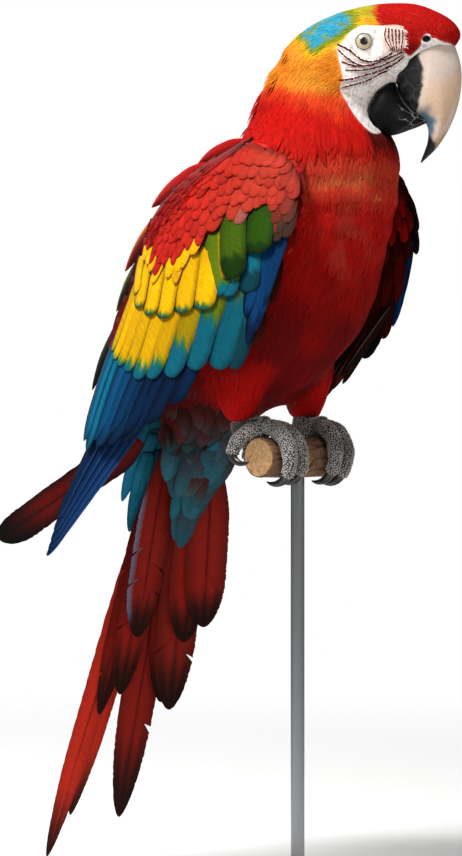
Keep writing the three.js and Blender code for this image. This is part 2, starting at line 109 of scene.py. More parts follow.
def square_to(v, axis):
    """The unit direction of what is left of v across a unit axis."""
    return unit(v - (v * axis).sum(-1, keepdims=True) * axis)


def along_curve(points, t):
    """Places on a smooth curve through the points, at shares t of its spans."""
    points = np.asarray(points, float)
    spans = len(points) - 1
    t = np.clip(np.asarray(t, float), 0, 1) * spans
    i = np.minimum(t.astype(int), spans - 1)
    w = (t - i)[..., None]
    padded = np.vstack([2 * points[0] - points[1], points, 2 * points[-1] - points[-2]])
    p0, p1, p2, p3 = (padded[i + k] for k in range(4))
    v0, v1 = (p2 - p0) / 2, (p3 - p1) / 2
    return (2 * p1 - 2 * p2 + v0 + v1) * w**3 + (-3 * p1 + 3 * p2 - 2 * v0 - v1) * w**2 + v0 * w + p1


def mottle(p, size, seed):
    """A cheap smooth noise, about -1 to 1, whose patches are about size across."""
    rng = np.random.default_rng(seed)
    total = 0
    for _ in range(6):
        wave = unit(rng.normal(size=3)) * (2 * pi / size) * rng.uniform(0.35, 1.0)
        total = total + np.sin(p @ wave + rng.uniform(0, 2 * pi))
    return total / 3


def mix(a, b, share):
    """Colour a going over to colour b; either may be an sRGB hex colour."""
    a, b = (linear(colour) if isinstance(colour, str) else colour for colour in (a, b))
    share = np.asarray(share)[..., None]
    return a * (1 - share) + b * share


def layered(colour, *layers):
    """Lays colours over one another in turn; each layer is a colour and its share."""
    for over, share in layers:
        colour = mix(colour, over, share)
    return colour


def search_tree(points):
    """A tree that finds the nearest of the points."""
    tree = KDTree(len(points))
    for i, place in enumerate(points):
        tree.insert(place, i)
    tree.balance()
    return tree


def thin_out(points, apart):
    """Which points stay when later ones that are too near an earlier one are left out."""
    tree = search_tree(points)
    kept = np.ones(len(points), bool)
    for i, place in enumerate(points):
        if kept[i]:
            for _, j, _ in tree.find_range(place, apart[i]):
                kept[j] &= j <= i
    return kept


def linear(hex_colour):
    """An sRGB hex colour as linear red, green and blue."""
    value = np.array([int(hex_colour[i : i + 2], 16) for i in (1, 3, 5)]) / 255
    return np.where(value <= 0.04045, value / 12.92, ((value + 0.055) / 1.055) ** 2.4)


def rgba(hex_colour):
    return (*linear(hex_colour), 1.0)


# ------------------------------------------------------------------ the bird's own frames


def head_local(p):
    """x towards the forehead, y to the head's left and z up, from the middle of the skull."""
    q = p - HEAD_CENTRE
    return np.stack([q @ HEAD_FRONT, q @ HEAD_LEFT, q[..., 2]], -1)


UP = np.array([0, 0, 1.0])


def head_place(x, y, z):
    """The place in the bird's frame for head_local's x, y and z."""
    ways = ((x, HEAD_FRONT), (y, HEAD_LEFT), (z, UP))
    return sum((np.multiply.outer(amount, way) for amount, way in ways), HEAD_CENTRE)


FACE_SKEW, FACE_SQUEEZE = 0.174, 0.985  # the face's markings are drawn as seen from 10 degrees ahead of the side


def face_map(p):
    """A flat map of either side of the head, (forwards, up), on which the face's markings are drawn."""
    q = head_local(p)
    return np.stack([FACE_SQUEEZE * q[..., 0] - FACE_SKEW * np.abs(q[..., 1]), q[..., 2]], -1)


def spine_at(p):
    """The nearest place on the body's middle line (share from tail to head) and the line's direction there."""
    steps = np.linspace(0, 1, 121)
    line = along_curve(SPINE, steps)
    gap = (p[:, None, 0] - line[None, :, 0]) ** 2 + (p[:, None, 2] - line[None, :, 1]) ** 2
    nearest = gap.argmin(1)
    tangent = unit(np.gradient(line, axis=0))[nearest]
    return steps[nearest], np.stack([tangent[:, 0], 0 * tangent[:, 0], tangent[:, 1]], -1), line[nearest]


def wing_surface(side, v, t, height=0.0, face=1):
    """A place on the folded wing: v runs from the front edge (0) to the back (1), t from the shoulder (0) to
    the secondaries' ends (1). face is 1 on the outside and -1 on the side towards the body."""
    v, t = np.broadcast_arrays(np.asarray(v, float), np.asarray(t, float))
    front = along_curve(WING_FRONT + WING_HEM[side], t)
    back = along_curve(WING_BACK, t)
    arch = np.sin(pi * np.clip(v, 0, 1))
    thick = np.interp(t, *zip(*WING_THICK))
    p = front + (back - front) * v[..., None]
    edge = 0.25 + 0.75 * np.sqrt(arch)
    p[..., 1] += WING_BOW * arch + face * (thick / 2 * edge + height)
    p[..., 1] *= side
    return p


TAIL_DOWN = np.array([-sin(TAIL_LEAN), 0, -cos(TAIL_LEAN)])
TAIL_ACROSS = np.array([sin(TAIL_TWIST), cos(TAIL_TWIST), 0])
TAIL_ACROSS = unit(TAIL_ACROSS - (TAIL_ACROSS @ TAIL_DOWN) * TAIL_DOWN)
TAIL_UNDER = np.cross(TAIL_DOWN, TAIL_ACROSS)

# ------------------------------------------------------------------ pieces


def to_floor(points):
    """From the bird's frame in millimetres to metres over the floor."""
    return (points - [0, 0, FLOOR]) * MM


def show(name, data):
    """An object with the data, linked into the scene."""
    made = bpy.data.objects.new(name, data)
    bpy.context.scene.collection.objects.link(made)
    return made


def make_piece(name, points, faces, material, replaced, colours=None, maps=None, sharp=None, marks=None):
    """A mesh piece in place. points are in the bird's frame in mm; faces is a list of index arrays, one for
    each number of corners; maps are UV places for each point; sharp lists points whose shared edges stay
    crisp; marks are where a material's cracks show."""
    mesh = bpy.data.meshes.new(name)
    sizes = np.concatenate([np.full(len(f), f.shape[1]) for f in faces])
    corners = np.concatenate([f.ravel() for f in faces]).astype(np.int32)
    mesh.vertices.add(len(points))
    mesh.vertices.foreach_set("co", to_floor(points).astype(np.float32).ravel())
    mesh.loops.add(len(corners))
    mesh.loops.foreach_set("vertex_index", corners)
    mesh.polygons.add(len(sizes))
    mesh.polygons.foreach_set("loop_start", np.concatenate([[0], np.cumsum(sizes)[:-1]]).astype(np.int32))
    mesh.polygons.foreach_set("use_smooth", np.ones(len(sizes), bool))
    mesh.update(calc_edges=True)
    if sharp is not None:
        ends = np.zeros(len(mesh.edges) * 2, np.int32)
        mesh.edges.foreach_get("vertices", ends)
        crisp = sharp[ends.reshape(-1, 2)].all(1)
        mesh.attributes.new("sharp_edge", "BOOLEAN", "EDGE").data.foreach_set("value", crisp)
    if colours is not None:
        full = np.ones((len(points), 4), np.float32)
        full[:, :3] = colours
        mesh.color_attributes.new("Coat", "FLOAT_COLOR", "POINT").data.foreach_set("color", full.ravel())
    if marks is not None:
        mesh.attributes.new("Marks", "FLOAT", "POINT").data.foreach_set("value", marks.astype(np.float32))
    for map_name, places in (maps or {}).items():
        layer = mesh.uv_layers.new(name=map_name)
        layer.data.foreach_set("uv", places[corners].astype(np.float32).ravel())
    mesh.materials.append(material)
    piece = show(name, mesh)
    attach(piece, "root")
    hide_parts(*replaced)


# ------------------------------------------------------------------ vanes
def ring_faces(rings, around):
    """Quads between closed rings, and a cap at each end, facing outwards for rings that turn left as seen
    from the end."""
    i, j = np.meshgrid(np.arange(rings - 1), np.arange(around), indexing="ij")
    nxt = (j + 1) % around
    quads = np.stack([i * around + j, i * around + nxt, (i + 1) * around + nxt, (i + 1) * around + j], -1)
    caps = np.stack([np.arange(around)[::-1], (rings - 1) * around + np.arange(around)])
    return [quads.reshape(-1, 4), caps]


# Each kind of feather: how many rings it has from quill to tip and columns over its upper face; where it
# reaches full width, and how wide it starts; where its tip starts to round, and how square that is; how much
# it narrows; its thickness; how far its edges drop as a share of its width; how far its barbs slant
# forwards; how frayed its edges are; the height of its shaft's ridge; and how often its edge is split.
DOWN = dict(rings=5, columns=3, swell=0.45, quill=0.35, round_from=0.3, round_power=1.5, taper=0.0, thick=0.4,
            drop=0.12, slant=1.1, fray=0.5, ridge=0.0, slits=0.0)
HAIRY = dict(DOWN, swell=0.4, round_power=1.2, slant=1.2)
SCALE = dict(DOWN, rings=8, columns=5, swell=0.3, quill=0.85, round_from=0.45, round_power=2.1, fray=0.05,
             slant=0.3, thick=0.7, drop=0.07)
COVERT = dict(DOWN, rings=24, columns=9, swell=0.3, quill=0.7, round_from=0.76, round_power=2.3, thick=0.9,
              drop=0.1, slant=0.5, fray=0.04, ridge=0.25)
QUILL = dict(DOWN, rings=44, columns=9, swell=0.22, quill=0.3, round_from=0.8, round_power=2.0, thick=1.0,
             drop=0.1, slant=0.9, fray=0.05, ridge=0.45)


def grow_vanes(rng, kind, root, along, out, length, half, bend=0.0, sweep=0.0):
    """Closed thin vanes. along points to the tip and out away from the body; bend is how far, in radians,
    the vane curls in over its length, and sweep how far its tip swings to its left as a share of length."""
    count, rings, columns = len(root), kind["rings"], kind["columns"]
    length, half, bend, sweep = (np.broadcast_to(np.asarray(x, float), (count,))[:, None, None]
                                 for x in (length, half, bend, sweep))
    out = square_to(out, along)
    root, along, out, across = (v[:, None, None] for v in (root, along, out, np.cross(out, along)))
    a = 1 - (1 - np.linspace(0, 1, rings)[:, None]) ** 1.5  # the rings crowd at the tip
    base = kind["quill"] + (1 - kind["quill"]) * np.sin(np.minimum(a / kind["swell"], 1) * pi / 2)
    past = np.maximum(a - kind["round_from"], 0) / (1 - kind["round_from"])
    tip = np.maximum(1 - past ** kind["round_power"], 0) ** (1 / kind["round_power"])
    share = base * np.maximum(tip, 0.03) * (1 - kind["taper"] * np.maximum(a - 0.3, 0) / 0.7)
    y = np.linspace(-1, 1, columns)
    if columns > 5:  # columns crowd at the shaft, so that its ridge is narrow
        y = np.sign(y) * np.abs(y) ** 1.5
    ring = np.concatenate([y, y[-2:0:-1]])
    face = np.concatenate([np.ones(columns), -np.ones(columns - 2)])
    reach = np.abs(ring)
    notch = 1 - kind["fray"] * rng.random((count, rings, 2)) ** 2 * smooth(0.12, 0.4, a)
    notch = notch * (1 - 0.4 * (rng.random(notch.shape) < kind["slits"] * smooth(0.4, 0.6, a)))
    width = half * share * notch
    width = np.where(ring < 0, width[..., :1], width[..., 1:])
    lead = kind["slant"] * smooth(0, 0.35, a) / length
    row = np.clip(a - lead * (half * share), 0, 1)
    axial = row + lead * width * reach
    turn = bend * axial
    forward = length * axial * np.sinc(turn / pi)
    rise = -length * axial * np.sin(turn / 2) * np.sinc(turn / 2 / pi)
    shaft = (reach < 1e-6) * kind["ridge"] * (1.2 - a) * face
    height = kind["thick"] / 2 * (1 - reach**2) * face + shaft
    height = height * np.minimum(1, 0.15 + 4 * share) - kind["drop"] * width * reach**2
    sideways = width * ring + sweep * length * axial**2
    lift = out * np.cos(turn)[..., None] + along * np.sin(turn)[..., None]
    points = (root + along * forward[..., None] + out * rise[..., None] + across * sideways[..., None]
              + lift * height[..., None])
    quads, caps = ring_faces(rings, len(ring))
    shift = (np.arange(count) * rings * len(ring))[:, None, None]
    side, reach, face = (np.broadcast_to(x, points.shape[:3]) for x in (ring, reach, face))
    return {
        "points": points, "axial": axial, "side": side, "reach": reach, "face": face, "count": count,
        "quads": (np.roll(quads[:, ::-1], 1, 1)[None] + shift).reshape(-1, 4),
        "caps": (caps[None, :, ::-1] + shift).reshape(-1, len(ring)),
        "barbs": np.stack([width * ring, row * length + 0 * width], -1) + rng.uniform(0, 500, (count, 1, 1, 2)),
    }


def grow_between(rng, kind, root, tip, normal, arch, half, sweep=0.0):
    """Vanes from root to tip, whose middles rise by arch towards their outward side."""
    along, out, chord, bend = through_points(root, (root + tip) / 2 + normal * arch, tip, normal)
    return grow_vanes(rng, kind, root, along, out, chord, half, bend, sweep)


def join_vanes(name, sets, material, replaced):
    """One piece from several sets of grown and painted vanes."""
    quads, caps, start = [], {}, 0
    for s in sets:
        quads.append(s["quads"] + start)
        caps.setdefault(s["caps"].shape[1], []).append(s["caps"] + start)
        start += s["points"].size // 3
    points, colours, barbs, bake, reach = (np.concatenate([s[key].reshape(-1, *s[key].shape[3:]) for s in sets])
                                           for key in ("points", "colour", "barbs", "bake", "reach"))
    faces = [np.concatenate(group) for group in (quads, *caps.values())]
    make_piece(name, points, faces, material, replaced, colours, {"OFBake": bake, "Barbs": barbs * MM},
               sharp=reach > 0.999)


BAKE_PATCH = 0.003  # of the skin's map


def small_patches(s, places):
    """Bake places of small vanes: each has a small patch at its root's place on the skin's unwrap."""
    local = np.stack([s["side"] * 0.5, s["axial"] - 0.5], -1) * BAKE_PATCH
    s["bake"] = np.clip(places[:, None, None] + local, 0, 1)
    return s


def sheet_places(sets):
    """Bake places of large vanes: each has its own cell, side by side over the whole map."""
    total = sum(s["count"] for s in sets)
    columns = int(np.ceil(np.sqrt(total * 3)))
    lines = int(np.ceil(total / columns))
    start = 0
    for s in sets:
        index = start + np.arange(s["count"])
        cell = np.stack([index % columns, index // columns], -1)[:, None, None]
        across = 0.5 + 0.44 * s["side"] * np.where(s["face"] > 0, 1, 0.98)
        local = np.stack([across, 0.04 + 0.92 * np.clip(s["axial"], 0, 1)], -1)
        s["bake"] = (cell + local) / [columns, lines]
        start += s["count"]
    return sets


# ------------------------------------------------------------------ materials


def add_node(tree, kind, sockets=None, **settings):
    """One shader or geometry node, with its settings, and its sockets set or linked."""
    made = tree.nodes.new(kind)
    for name, value in settings.items():
        setattr(made, name, value)
    for name, value in (sockets or {}).items():
        if isinstance(value, bpy.types.NodeSocket):
            tree.links.new(value, made.inputs[name])
        else:
            made.inputs[name].default_value = value
    return made


def new_material(name):
    """A material with its node tree and shader."""
    material = bpy.data.materials.new(name)
    material.use_nodes = True
    return material, material.node_tree, material.node_tree.nodes["Principled BSDF"]


def set_sockets(node, **values):
    """Sets a node's plain inputs; an underscore in a name stands for a space."""
    for name, value in values.items():
        node.inputs[name.replace("_", " ")].default_value = value


def vary(tree, colour, noise, share, middle=1.0):
    """The colour made lighter and darker with a noise, by a share round the middle."""
    tone = add_node(tree, "ShaderNodeMapRange", {
        0: noise, 1: 0.3, 2: 0.7, 3: middle * (1 - share), 4: middle * (1 + share)})
    return add_node(tree, "ShaderNodeVectorMath", {0: colour, 3: tone.outputs[0]}, operation="SCALE").outputs[0]


def feather_material(name, roughness, specular, streak, barb_mm):
    """Feather keratin: barbs lie side by side like fine combed thread, so light breaks along them, and
    the vane is a little darker between them. The barbs are drawn two to three times as coarse as real
    ones, so that they show at this distance."""
    material, tree, shader = new_material(name)
    coat = add_node(tree, "ShaderNodeAttribute", attribute_name="Coat")
    place = add_node(tree, "ShaderNodeUVMap", uv_map="Barbs")
    per_barb = (1 / (12 * barb_mm * MM), 1 / (barb_mm * MM), 1)
    comb = add_node(tree, "ShaderNodeVectorMath", {0: place.outputs[0], 1: per_barb}, operation="MULTIPLY")
    barbs = add_node(tree, "ShaderNodeTexNoise", {
        "Vector": comb.outputs[0], "Scale": 1.0, "Detail": 3.0, "Roughness": 0.6},
        noise_dimensions="2D").outputs[0]
    deep = 0.84  # the light that is lost between the barbs
    tree.links.new(vary(tree, coat.outputs["Color"], barbs, streak, deep), shader.inputs["Base Color"])
    bump = add_node(tree, "ShaderNodeBump", {"Height": barbs, "Strength": 0.4, "Distance": 0.2 * MM})
    tree.links.new(bump.outputs[0], shader.inputs["Normal"])
    set_sockets(shader, Roughness=roughness, Specular_IOR_Level=specular)
    return material


def grain_noise(tree, size_mm):
    """Noise on the piece's own place, with grains about size_mm across."""
    place = add_node(tree, "ShaderNodeTexCoord").outputs["Object"]
    return add_node(tree, "ShaderNodeTexNoise", {
        "Vector": place, "Scale": 1 / (size_mm * MM), "Detail": 4.0, "Roughness": 0.55})


def cracked(tree, base, cell_mm, width, strength):
    """The colour with pale cracks round bent cells, where the piece's Marks attribute is 1; width is a share
    of a cell."""
    place = add_node(tree, "ShaderNodeTexCoord").outputs["Object"]
    warp = grain_noise(tree, cell_mm * 0.8).outputs["Color"]
    bent = add_node(tree, "ShaderNodeVectorMath", {0: warp, 1: (0.8 * cell_mm * MM,) * 3}, operation="MULTIPLY")
    moved = add_node(tree, "ShaderNodeVectorMath", {0: place, 1: bent.outputs[0]}, operation="ADD")
    cells = add_node(tree, "ShaderNodeTexVoronoi", {"Vector": moved.outputs[0], "Scale": 1 / (cell_mm * MM)},
                     feature="DISTANCE_TO_EDGE")
    line = add_node(tree, "ShaderNodeMapRange", {
        0: cells.outputs["Distance"], 1: 0.0, 2: width, 3: strength, 4: 0.0})
    marks = add_node(tree, "ShaderNodeAttribute", attribute_name="Marks")
    share = add_node(tree, "ShaderNodeMath", {0: line.outputs[0], 1: marks.outputs["Fac"]}, operation="MULTIPLY")
    return add_node(tree, "ShaderNodeMix", {"Factor": share.outputs[0], 6: base, 7: rgba("#B9B2AD")},
                    data_type="RGBA").outputs[2]


def surface_material(name, roughness, bumps, specular=0.5, coat=0.0, tone=None, metallic=0.0, colour=None,
                     cracks=None):
    """A painted-by-attribute surface, or one plain colour, with noise bumps given as (grain mm, height mm),
    an optional tone: (grain mm, share) of light and dark over the colour, and optional pale cracks."""
    material, tree, shader = new_material(name)
    if colour is None:
        base = add_node(tree, "ShaderNodeAttribute", attribute_name="Coat").outputs["Color"]
        if tone:
            base = vary(tree, base, grain_noise(tree, tone[0]).outputs[0], tone[1])
        if cracks:
            base = cracked(tree, base, *cracks)
        tree.links.new(base, shader.inputs["Base Color"])
    else:
        set_sockets(shader, Base_Color=rgba(colour))
    sockets = {"Strength": 1.0}
    for size, height in bumps:
        sockets.update({"Height": grain_noise(tree, size).outputs[0], "Distance": height * MM})
        sockets["Normal"] = add_node(tree, "ShaderNodeBump", sockets).outputs[0]
    if bumps:
        tree.links.new(sockets["Normal"], shader.inputs["Normal"])
    set_sockets(shader, Roughness=roughness, Specular_IOR_Level=specular, Coat_Weight=coat, Coat_Roughness=0.08,
                Metallic=metallic)
    return material


# small body feathers: combed, soft and without shine
PLUMAGE = feather_material("soft_contour_plumage", 0.85, 0.06, 0.25, 0.6)
# quills and coverts: smoother, so that a dull sheen runs along them
VANE = feather_material("stiff_flight_vane", 0.62, 0.05, 0.2, 1.0)
# the bare face: dry, finely pebbled skin
SKIN = surface_material("bare_bird_skin", 0.65, [(1.2, 0.25), (3.5, 0.3)], specular=0.25, tone=(2.5, 0.05))
# the upper bill: pale horn, worn dull and faintly crazed
HORN = surface_material("worn_bill_horn", 0.45, [(0.9, 0.05), (5, 0.12)], specular=0.3, tone=(3.0, 0.06),
                        cracks=(13, 0.03, 0.14))
# the lower bill: black horn with dusty flakes
DARK_HORN = surface_material("dry_dark_bill_horn", 0.55, [(0.9, 0.1), (3, 0.12)], specular=0.12, tone=(1.6, 0.25),
                             cracks=(15, 0.025, 0.5))
# claws: smooth black horn that catches the light
CLAW_HORN = surface_material("polished_claw_horn", 0.3, [(2, 0.05)], specular=0.5)
# the feet: dull grains with dark skin between them
SCUTES = surface_material("granular_foot_scutes", 0.55, [(0.8, 0.08)], specular=0.4, tone=(1.5, 0.22))
# the eye: wet and sharply shining
EYEBALL = surface_material("wet_eyeball", 0.12, [], specular=0.6, coat=1.0)
# the perch: rough, dry bark
BARK = surface_material("dry_branch_bark", 0.85, [(1.2, 0.5), (6, 1.2)], specular=0.2, tone=(3.0, 0.3))
# the rod: plain metal with a soft shine
STEEL = surface_material("brushed_steel", 0.3, [(0.4, 0.01)], metallic=1.0, colour="#9A9DA0")
# the base: brown wood with a low, oiled shine
WALNUT = surface_material("oiled_walnut", 0.42, [(0.6, 0.05)], specular=0.4, tone=(4.0, 0.2))

# ------------------------------------------------------------------ colours
SCARLET, BRIGHT, CORAL = linear("#BC110B"), linear("#CE2615"), linear("#B93526")
DEEP_RED, MAROON, BLOOD = linear("#640403"), linear("#380A08"), linear("#9A0A06")
ORANGE, EMBER, YELLOW = linear("#E07E20"), linear("#D8441A"), linear("#EFB406")
LIME, GREEN, LEAF = linear("#7C8C14"), linear("#2F560B"), linear("#183409")
TURQUOISE, TEAL, PINE = linear("#3498B4"), linear("#0E6478"), linear("#0A3C46")
BLUE, NAVY, INK = linear("#0A3F70"), linear("#071F42"), linear("#04080F")
BRICK, UMBER, SOOT = linear("#86170F"), linear("#22100C"), linear("#0F0C0B")
BARE, PINK, CHARCOAL, PALE = linear("#F8F0EB"), linear("#E4C4B6"), linear("#17191B"), linear("#C9BDB6")
SLATE, BLACK = linear("#3C6478"), linear("#0A0B0C")

NAPE_FROM, NAPE_TO = np.array([-14.0, 33.5]), np.array([-44.0, 16.0])  # the nape patch's line, on the face map

# The bare face's outline on the face map, from the back of the eye round over it to the bill and back.
FACE_OUTLINE = [
    (-20, 7), (-14, 12.5), (-9.5, 18.3), (-2.5, 23), (4.6, 24.4), (16, 23.8), (26, 24.1), (35.5, 23), (40, 17.5),
    (40.5, 8), (38.5, 0), (42, -1.5), (47, 2.8), (50.5, 7), (51.2, 11.5), (53.6, 15.6), (57.5, 16.4), (61, 13.6),
    (67.6, 10.8), (76, 9.2), (81, 7), (82, 3), (70, 0), (60, -3), (52, -8), (46, -20), (30, -22), (20, -26),
    (12, -34), (16, -46), (19, -58), (17, -65.5), (9.5, -66.5), (2.5, -61), (-5, -52), (-11.5, -42), (-18, -29.2),
    (-15.5, -22), (-17, -13), (-19.5, -2.5)]


def inside_outline(q, outline):
    """Signed distance to a closed outline on a flat map, positive inside."""
    a = np.asarray(outline, float)
    b = np.roll(a, -1, 0)
    edge = b - a
    from_a = q[:, None] - a[None]
    t = np.clip((from_a * edge).sum(-1) / (edge**2).sum(-1), 0, 1)
    gap = np.linalg.norm(from_a - t[..., None] * edge, axis=-1).min(1)
    crosses = (a[None, :, 1] > q[:, None, 1]) != (b[None, :, 1] > q[:, None, 1])
    slope = np.where(np.abs(edge[:, 1]) < 1e-9, 1e-9, edge[:, 1])
    x_at = a[None, :, 0] + (q[:, None, 1] - a[None, :, 1]) / slope[None] * edge[None, :, 0]
    odd = (crosses & (q[:, None, 0] < x_at)).sum(1) % 2 == 1
    return np.where(odd, gap, -gap)


FACE_LOOP = along_curve(FACE_OUTLINE + FACE_OUTLINE[:1], np.linspace(0, 1, 133))[:-1]


def head_share(p):
    """How much a place belongs to the head rather than to neck and body."""
    return smooth(300, 318, p[:, 2] + 0.15 * (p[:, 0] - 50))


FACE_FROM = 268  # no bare skin below this height


def bare_share(p, flat, low=-0.8, high=0.8):
    """How bare a place is: 1 inside the face's outline."""
    return smooth(low, high, inside_outline(flat, FACE_LOOP)) * smooth(FACE_FROM, FACE_FROM + 6, p[:, 2])


def nape_gap(flat):
    """How far a place on the face map is from the blue patch on the nape."""
    run = NAPE_TO - NAPE_FROM
    size = np.linalg.norm(run)
    along = ((flat - NAPE_FROM) @ run) / (run @ run)
    aside = np.abs((flat - NAPE_FROM) @ np.array([run[1], -run[0]]) / size)
    past = np.maximum(np.maximum(-along, along - 1), 0) * size
    return np.hypot(np.maximum(aside - 7.5, 0), past)


def coat_colour(p):
    """The markings of head, neck and body, for skin and coat alike, with painted shade towards the belly and
    under the chin, and a painted highlight on the breast's fold.
    """
    flat = face_map(p) + np.stack([mottle(p, 11, 3), mottle(p, 9, 4)], -1) * 1.8
    x, z = flat[:, 0], flat[:, 1]
    height, ahead = p[:, 2], p @ CAMERA_RIGHT
    share, _, middle = spine_at(p)
    back = np.clip((middle[:, 0] - p[:, 0]) / 60, -1, 1)  # 1 on the back, -1 on the breast
    patchy = mottle(p, 30, 5)
    # darker red towards the belly: partly the plumage's own darker red, partly painted shade
    deeper_red_and_shade = np.clip(0.08 + 0.16 * patchy + 0.85 * smooth(222, 100, height), 0, 1)
    coral = smooth(198, 230, height + 6 * mottle(p, 26, 34)) * smooth(258, 246, height) * smooth(-35, 10, ahead)
    # a golden band along the breast's fold: a painted highlight
    fold = bell(height - 231 + 5 * mottle(p, 30, 35), 6) * smooth(8, 34, ahead) * smooth(72, 56, ahead)
    pale = bell(ahead - 47, 24) * bell(height - 178, 24) * np.clip(0.45 + mottle(p, 14, 36), 0, 1)
    spot = smooth(4.5, 1, np.hypot(ahead - 71, height - 216))
    vent = smooth(72, 34, height) * smooth(-40, -75, p[:, 0])
    vent_colour = mix("#4A0C08", "#2A3C3C", smooth(0.2, 0.9, mottle(p, 24, 9)) * 0.6)
    rump = smooth(0.25, 0.6, back) * smooth(0.42, 0.28, share)
    line = -22 - (x + 73) * 0.37  # the lower edge of the orange on cheek and neck
    behind = np.clip(smooth(-40, -31, z) + smooth(-8, -20, x), 0, 1)
    warm = smooth(line - 9, line + 3, z) * smooth(300, 315, height) * behind
    above = smooth(20, 28, z) * smooth(-30, -10, x)
    crown = smooth(10, 16, x + 0.25 * (z - 30))
    from_patch = nape_gap(flat)
    crown_dark = np.clip(0.6 * smooth(14, 4, z) * smooth(34, 44, x) + 0.15 * patchy, 0, 1)
    # under the bill: the chin's dark maroon together with painted shade
    chin = smooth(0, 9, x) * smooth(-50, -60, z) * smooth(-90, -76, z)
    return layered(
        mix(SCARLET, DEEP_RED, deeper_red_and_shade),
        ("#BC3A26", coral * 0.8),
        ("#C07A40", fold * 0.5),
        ("#B2402E", pale * 0.55),
        ("#C08A20", spot * 0.7),
        (vent_colour, vent * 0.9),
        (mix(TEAL, TURQUOISE, np.clip(0.5 + 0.4 * patchy, 0, 1)), rump),
        (BRIGHT, smooth(line - 24, line - 4, z) * 0.5),
        (EMBER, smooth(line - 22, line - 2, z) * behind),
        (mix(ORANGE, "#E2902A", np.clip(0.5 + patchy, 0, 1)), warm),
        ("#DC981C", above * (1 - crown)),
        ("#98A02A", smooth(28, 33, z) * smooth(-20, -11, x) * (1 - crown) * 0.8),
        ("#E9A91F", smooth(17, 10, from_patch) * smooth(-80, -60, x) * smooth(36, 26, z)),
        (LIME, smooth(11, 6, from_patch)),
        (TURQUOISE, smooth(4.0, 1.0, from_patch)),
        (LIME, smooth(5.0, 1.0, from_patch) * smooth(0.0, 0.9, mottle(p, 7, 29)) * 0.75),
        (mix("#B6130E", DEEP_RED, crown_dark), crown * smooth(-30, -15, z)),
        ("#3A0C08", chin * 0.9))


def jitter(rng, colours, amount):
    """Each feather a little lighter, darker, redder or duller than its neighbour."""
    light = 1 + amount * rng.normal(size=(len(colours), 1))
    tint = 1 + 0.35 * amount * rng.normal(size=(len(colours), 3))
    return np.clip(colours * light * tint, 0.002, 0.95)


# ------------------------------------------------------------------ skin
THIGHS = ["thigh_right", "thigh_left"]

SHOULDERS = ["wing_right_shoulder", "wing_left_shoulder"]

FLESH = ["trunk", "neck", "head"] + THIGHS + SHOULDERS


def gather(nodes):
    """The named solids, copied, merged and joined in one scratch mesh, still in metres over the floor."""
    joined = bmesh.new()
    for name in nodes:
        joined.from_mesh(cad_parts[name].data)
    bmesh.ops.remove_doubles(joined, verts=joined.verts, dist=1e-6)
    mesh = bpy.data.meshes.new("gathered")
    joined.to_mesh(mesh)
    joined.free()
    return mesh


def from_floor(co):
    """From metres over the floor to the bird's frame in millimetres."""
    return co / MM + [0, 0, FLOOR]


def bird_points(mesh):
    """A mesh's points, in the bird's frame."""
    co = np.zeros(len(mesh.vertices) * 3, np.float32)
    mesh.vertices.foreach_get("co", co)
    return from_floor(co.reshape(-1, 3).astype(float))


def tree_of(nodes):
    """A search tree over the named solids, in the bird's frame."""
    mesh = gather(nodes)
    tree = BVHTree.FromPolygons([Vector(p) for p in bird_points(mesh)], [tuple(f.vertices) for f in mesh.polygons])
    bpy.data.meshes.remove(mesh)
    return tree


def distances(tree, p):
    """How far each place is from a tree's surface."""
    return np.array([tree.find_nearest(Vector(q))[3] for q in p])


def cast(tree, starts, way):
    """Where rays meet a tree's surface, and its normals there; only the rays that meet it are kept."""
    hits = [tree.ray_cast(Vector(start), Vector(way)) for start in starts]
    hits = [hit for hit in hits if hit[0] is not None]
    return np.array([hit[0] for hit in hits], float), np.array([hit[1] for hit in hits], float)


class Surface:
    """Points, faces and point normals of a mesh, with the few operations that the skin needs."""

    def __init__(self, points, faces):
        self.points, self.faces = points, faces
        pairs = np.concatenate([np.stack([f, np.roll(f, -1, 1)], -1).reshape(-1, 2) for f in faces])
        pairs = np.unique(np.sort(pairs, 1), axis=0)
        self.pairs = np.concatenate([pairs, pairs[:, ::-1]])
        self.triangles = np.concatenate([f[:, [0, k, k + 1]] for f in faces for k in range(1, f.shape[1] - 1)])

    def relax(self, rounds, weight):
        """Laplacian smoothing; weight may differ by point."""
        count = len(self.points)
        here, there = self.pairs.T
        links = np.maximum(np.bincount(here, minlength=count), 1)[:, None]
        weight = np.broadcast_to(weight, (count,))[:, None]
        for _ in range(rounds):
            total = np.stack([np.bincount(here, self.points[there, k], count) for k in range(3)], -1)
            self.points = self.points + weight * (total / links - self.points)

    def push(self, amount):
        """Moves the points outwards."""
        self.points = self.points + self.normals() * amount[:, None]

    def corners(self):
        """The first, second and third corner of each triangle."""
        return [self.points[self.triangles[:, k]] for k in range(3)]

    def normals(self):
        a, b, c = self.corners()
        n = np.cross(b - a, c - a)
        total = np.zeros_like(self.points)
        for k in range(3):
            for axis in range(3):
                total[:, axis] += np.bincount(self.triangles[:, k], n[:, axis], len(self.points))
        return unit(total)

    def tree(self):
        return BVHTree.FromPolygons([Vector(p) for p in self.points], self.triangles.tolist())


def read_faces(mesh):
    """A mesh's faces as index arrays by number of corners."""
    corners = np.zeros(len(mesh.loops), np.int32)
    mesh.loops.foreach_get("vertex_index", corners)
    starts = np.zeros(len(mesh.polygons), np.int32)
    totals = np.zeros(len(mesh.polygons), np.int32)
    mesh.polygons.foreach_get("loop_start", starts)
    mesh.polygons.foreach_get("loop_total", totals)
    return [np.stack([corners[starts[totals == n] + k] for k in range(n)], -1) for n in np.unique(totals)]


def eye_axis(side):
    """The way an eye looks."""
    turn = radians(EYE["forward_deg"])
    return sin(turn) * HEAD_FRONT + side * cos(turn) * HEAD_LEFT


def eye_centre(side):
    return head_place(EYE["x"], side * EYE["y"], EYE["z"])


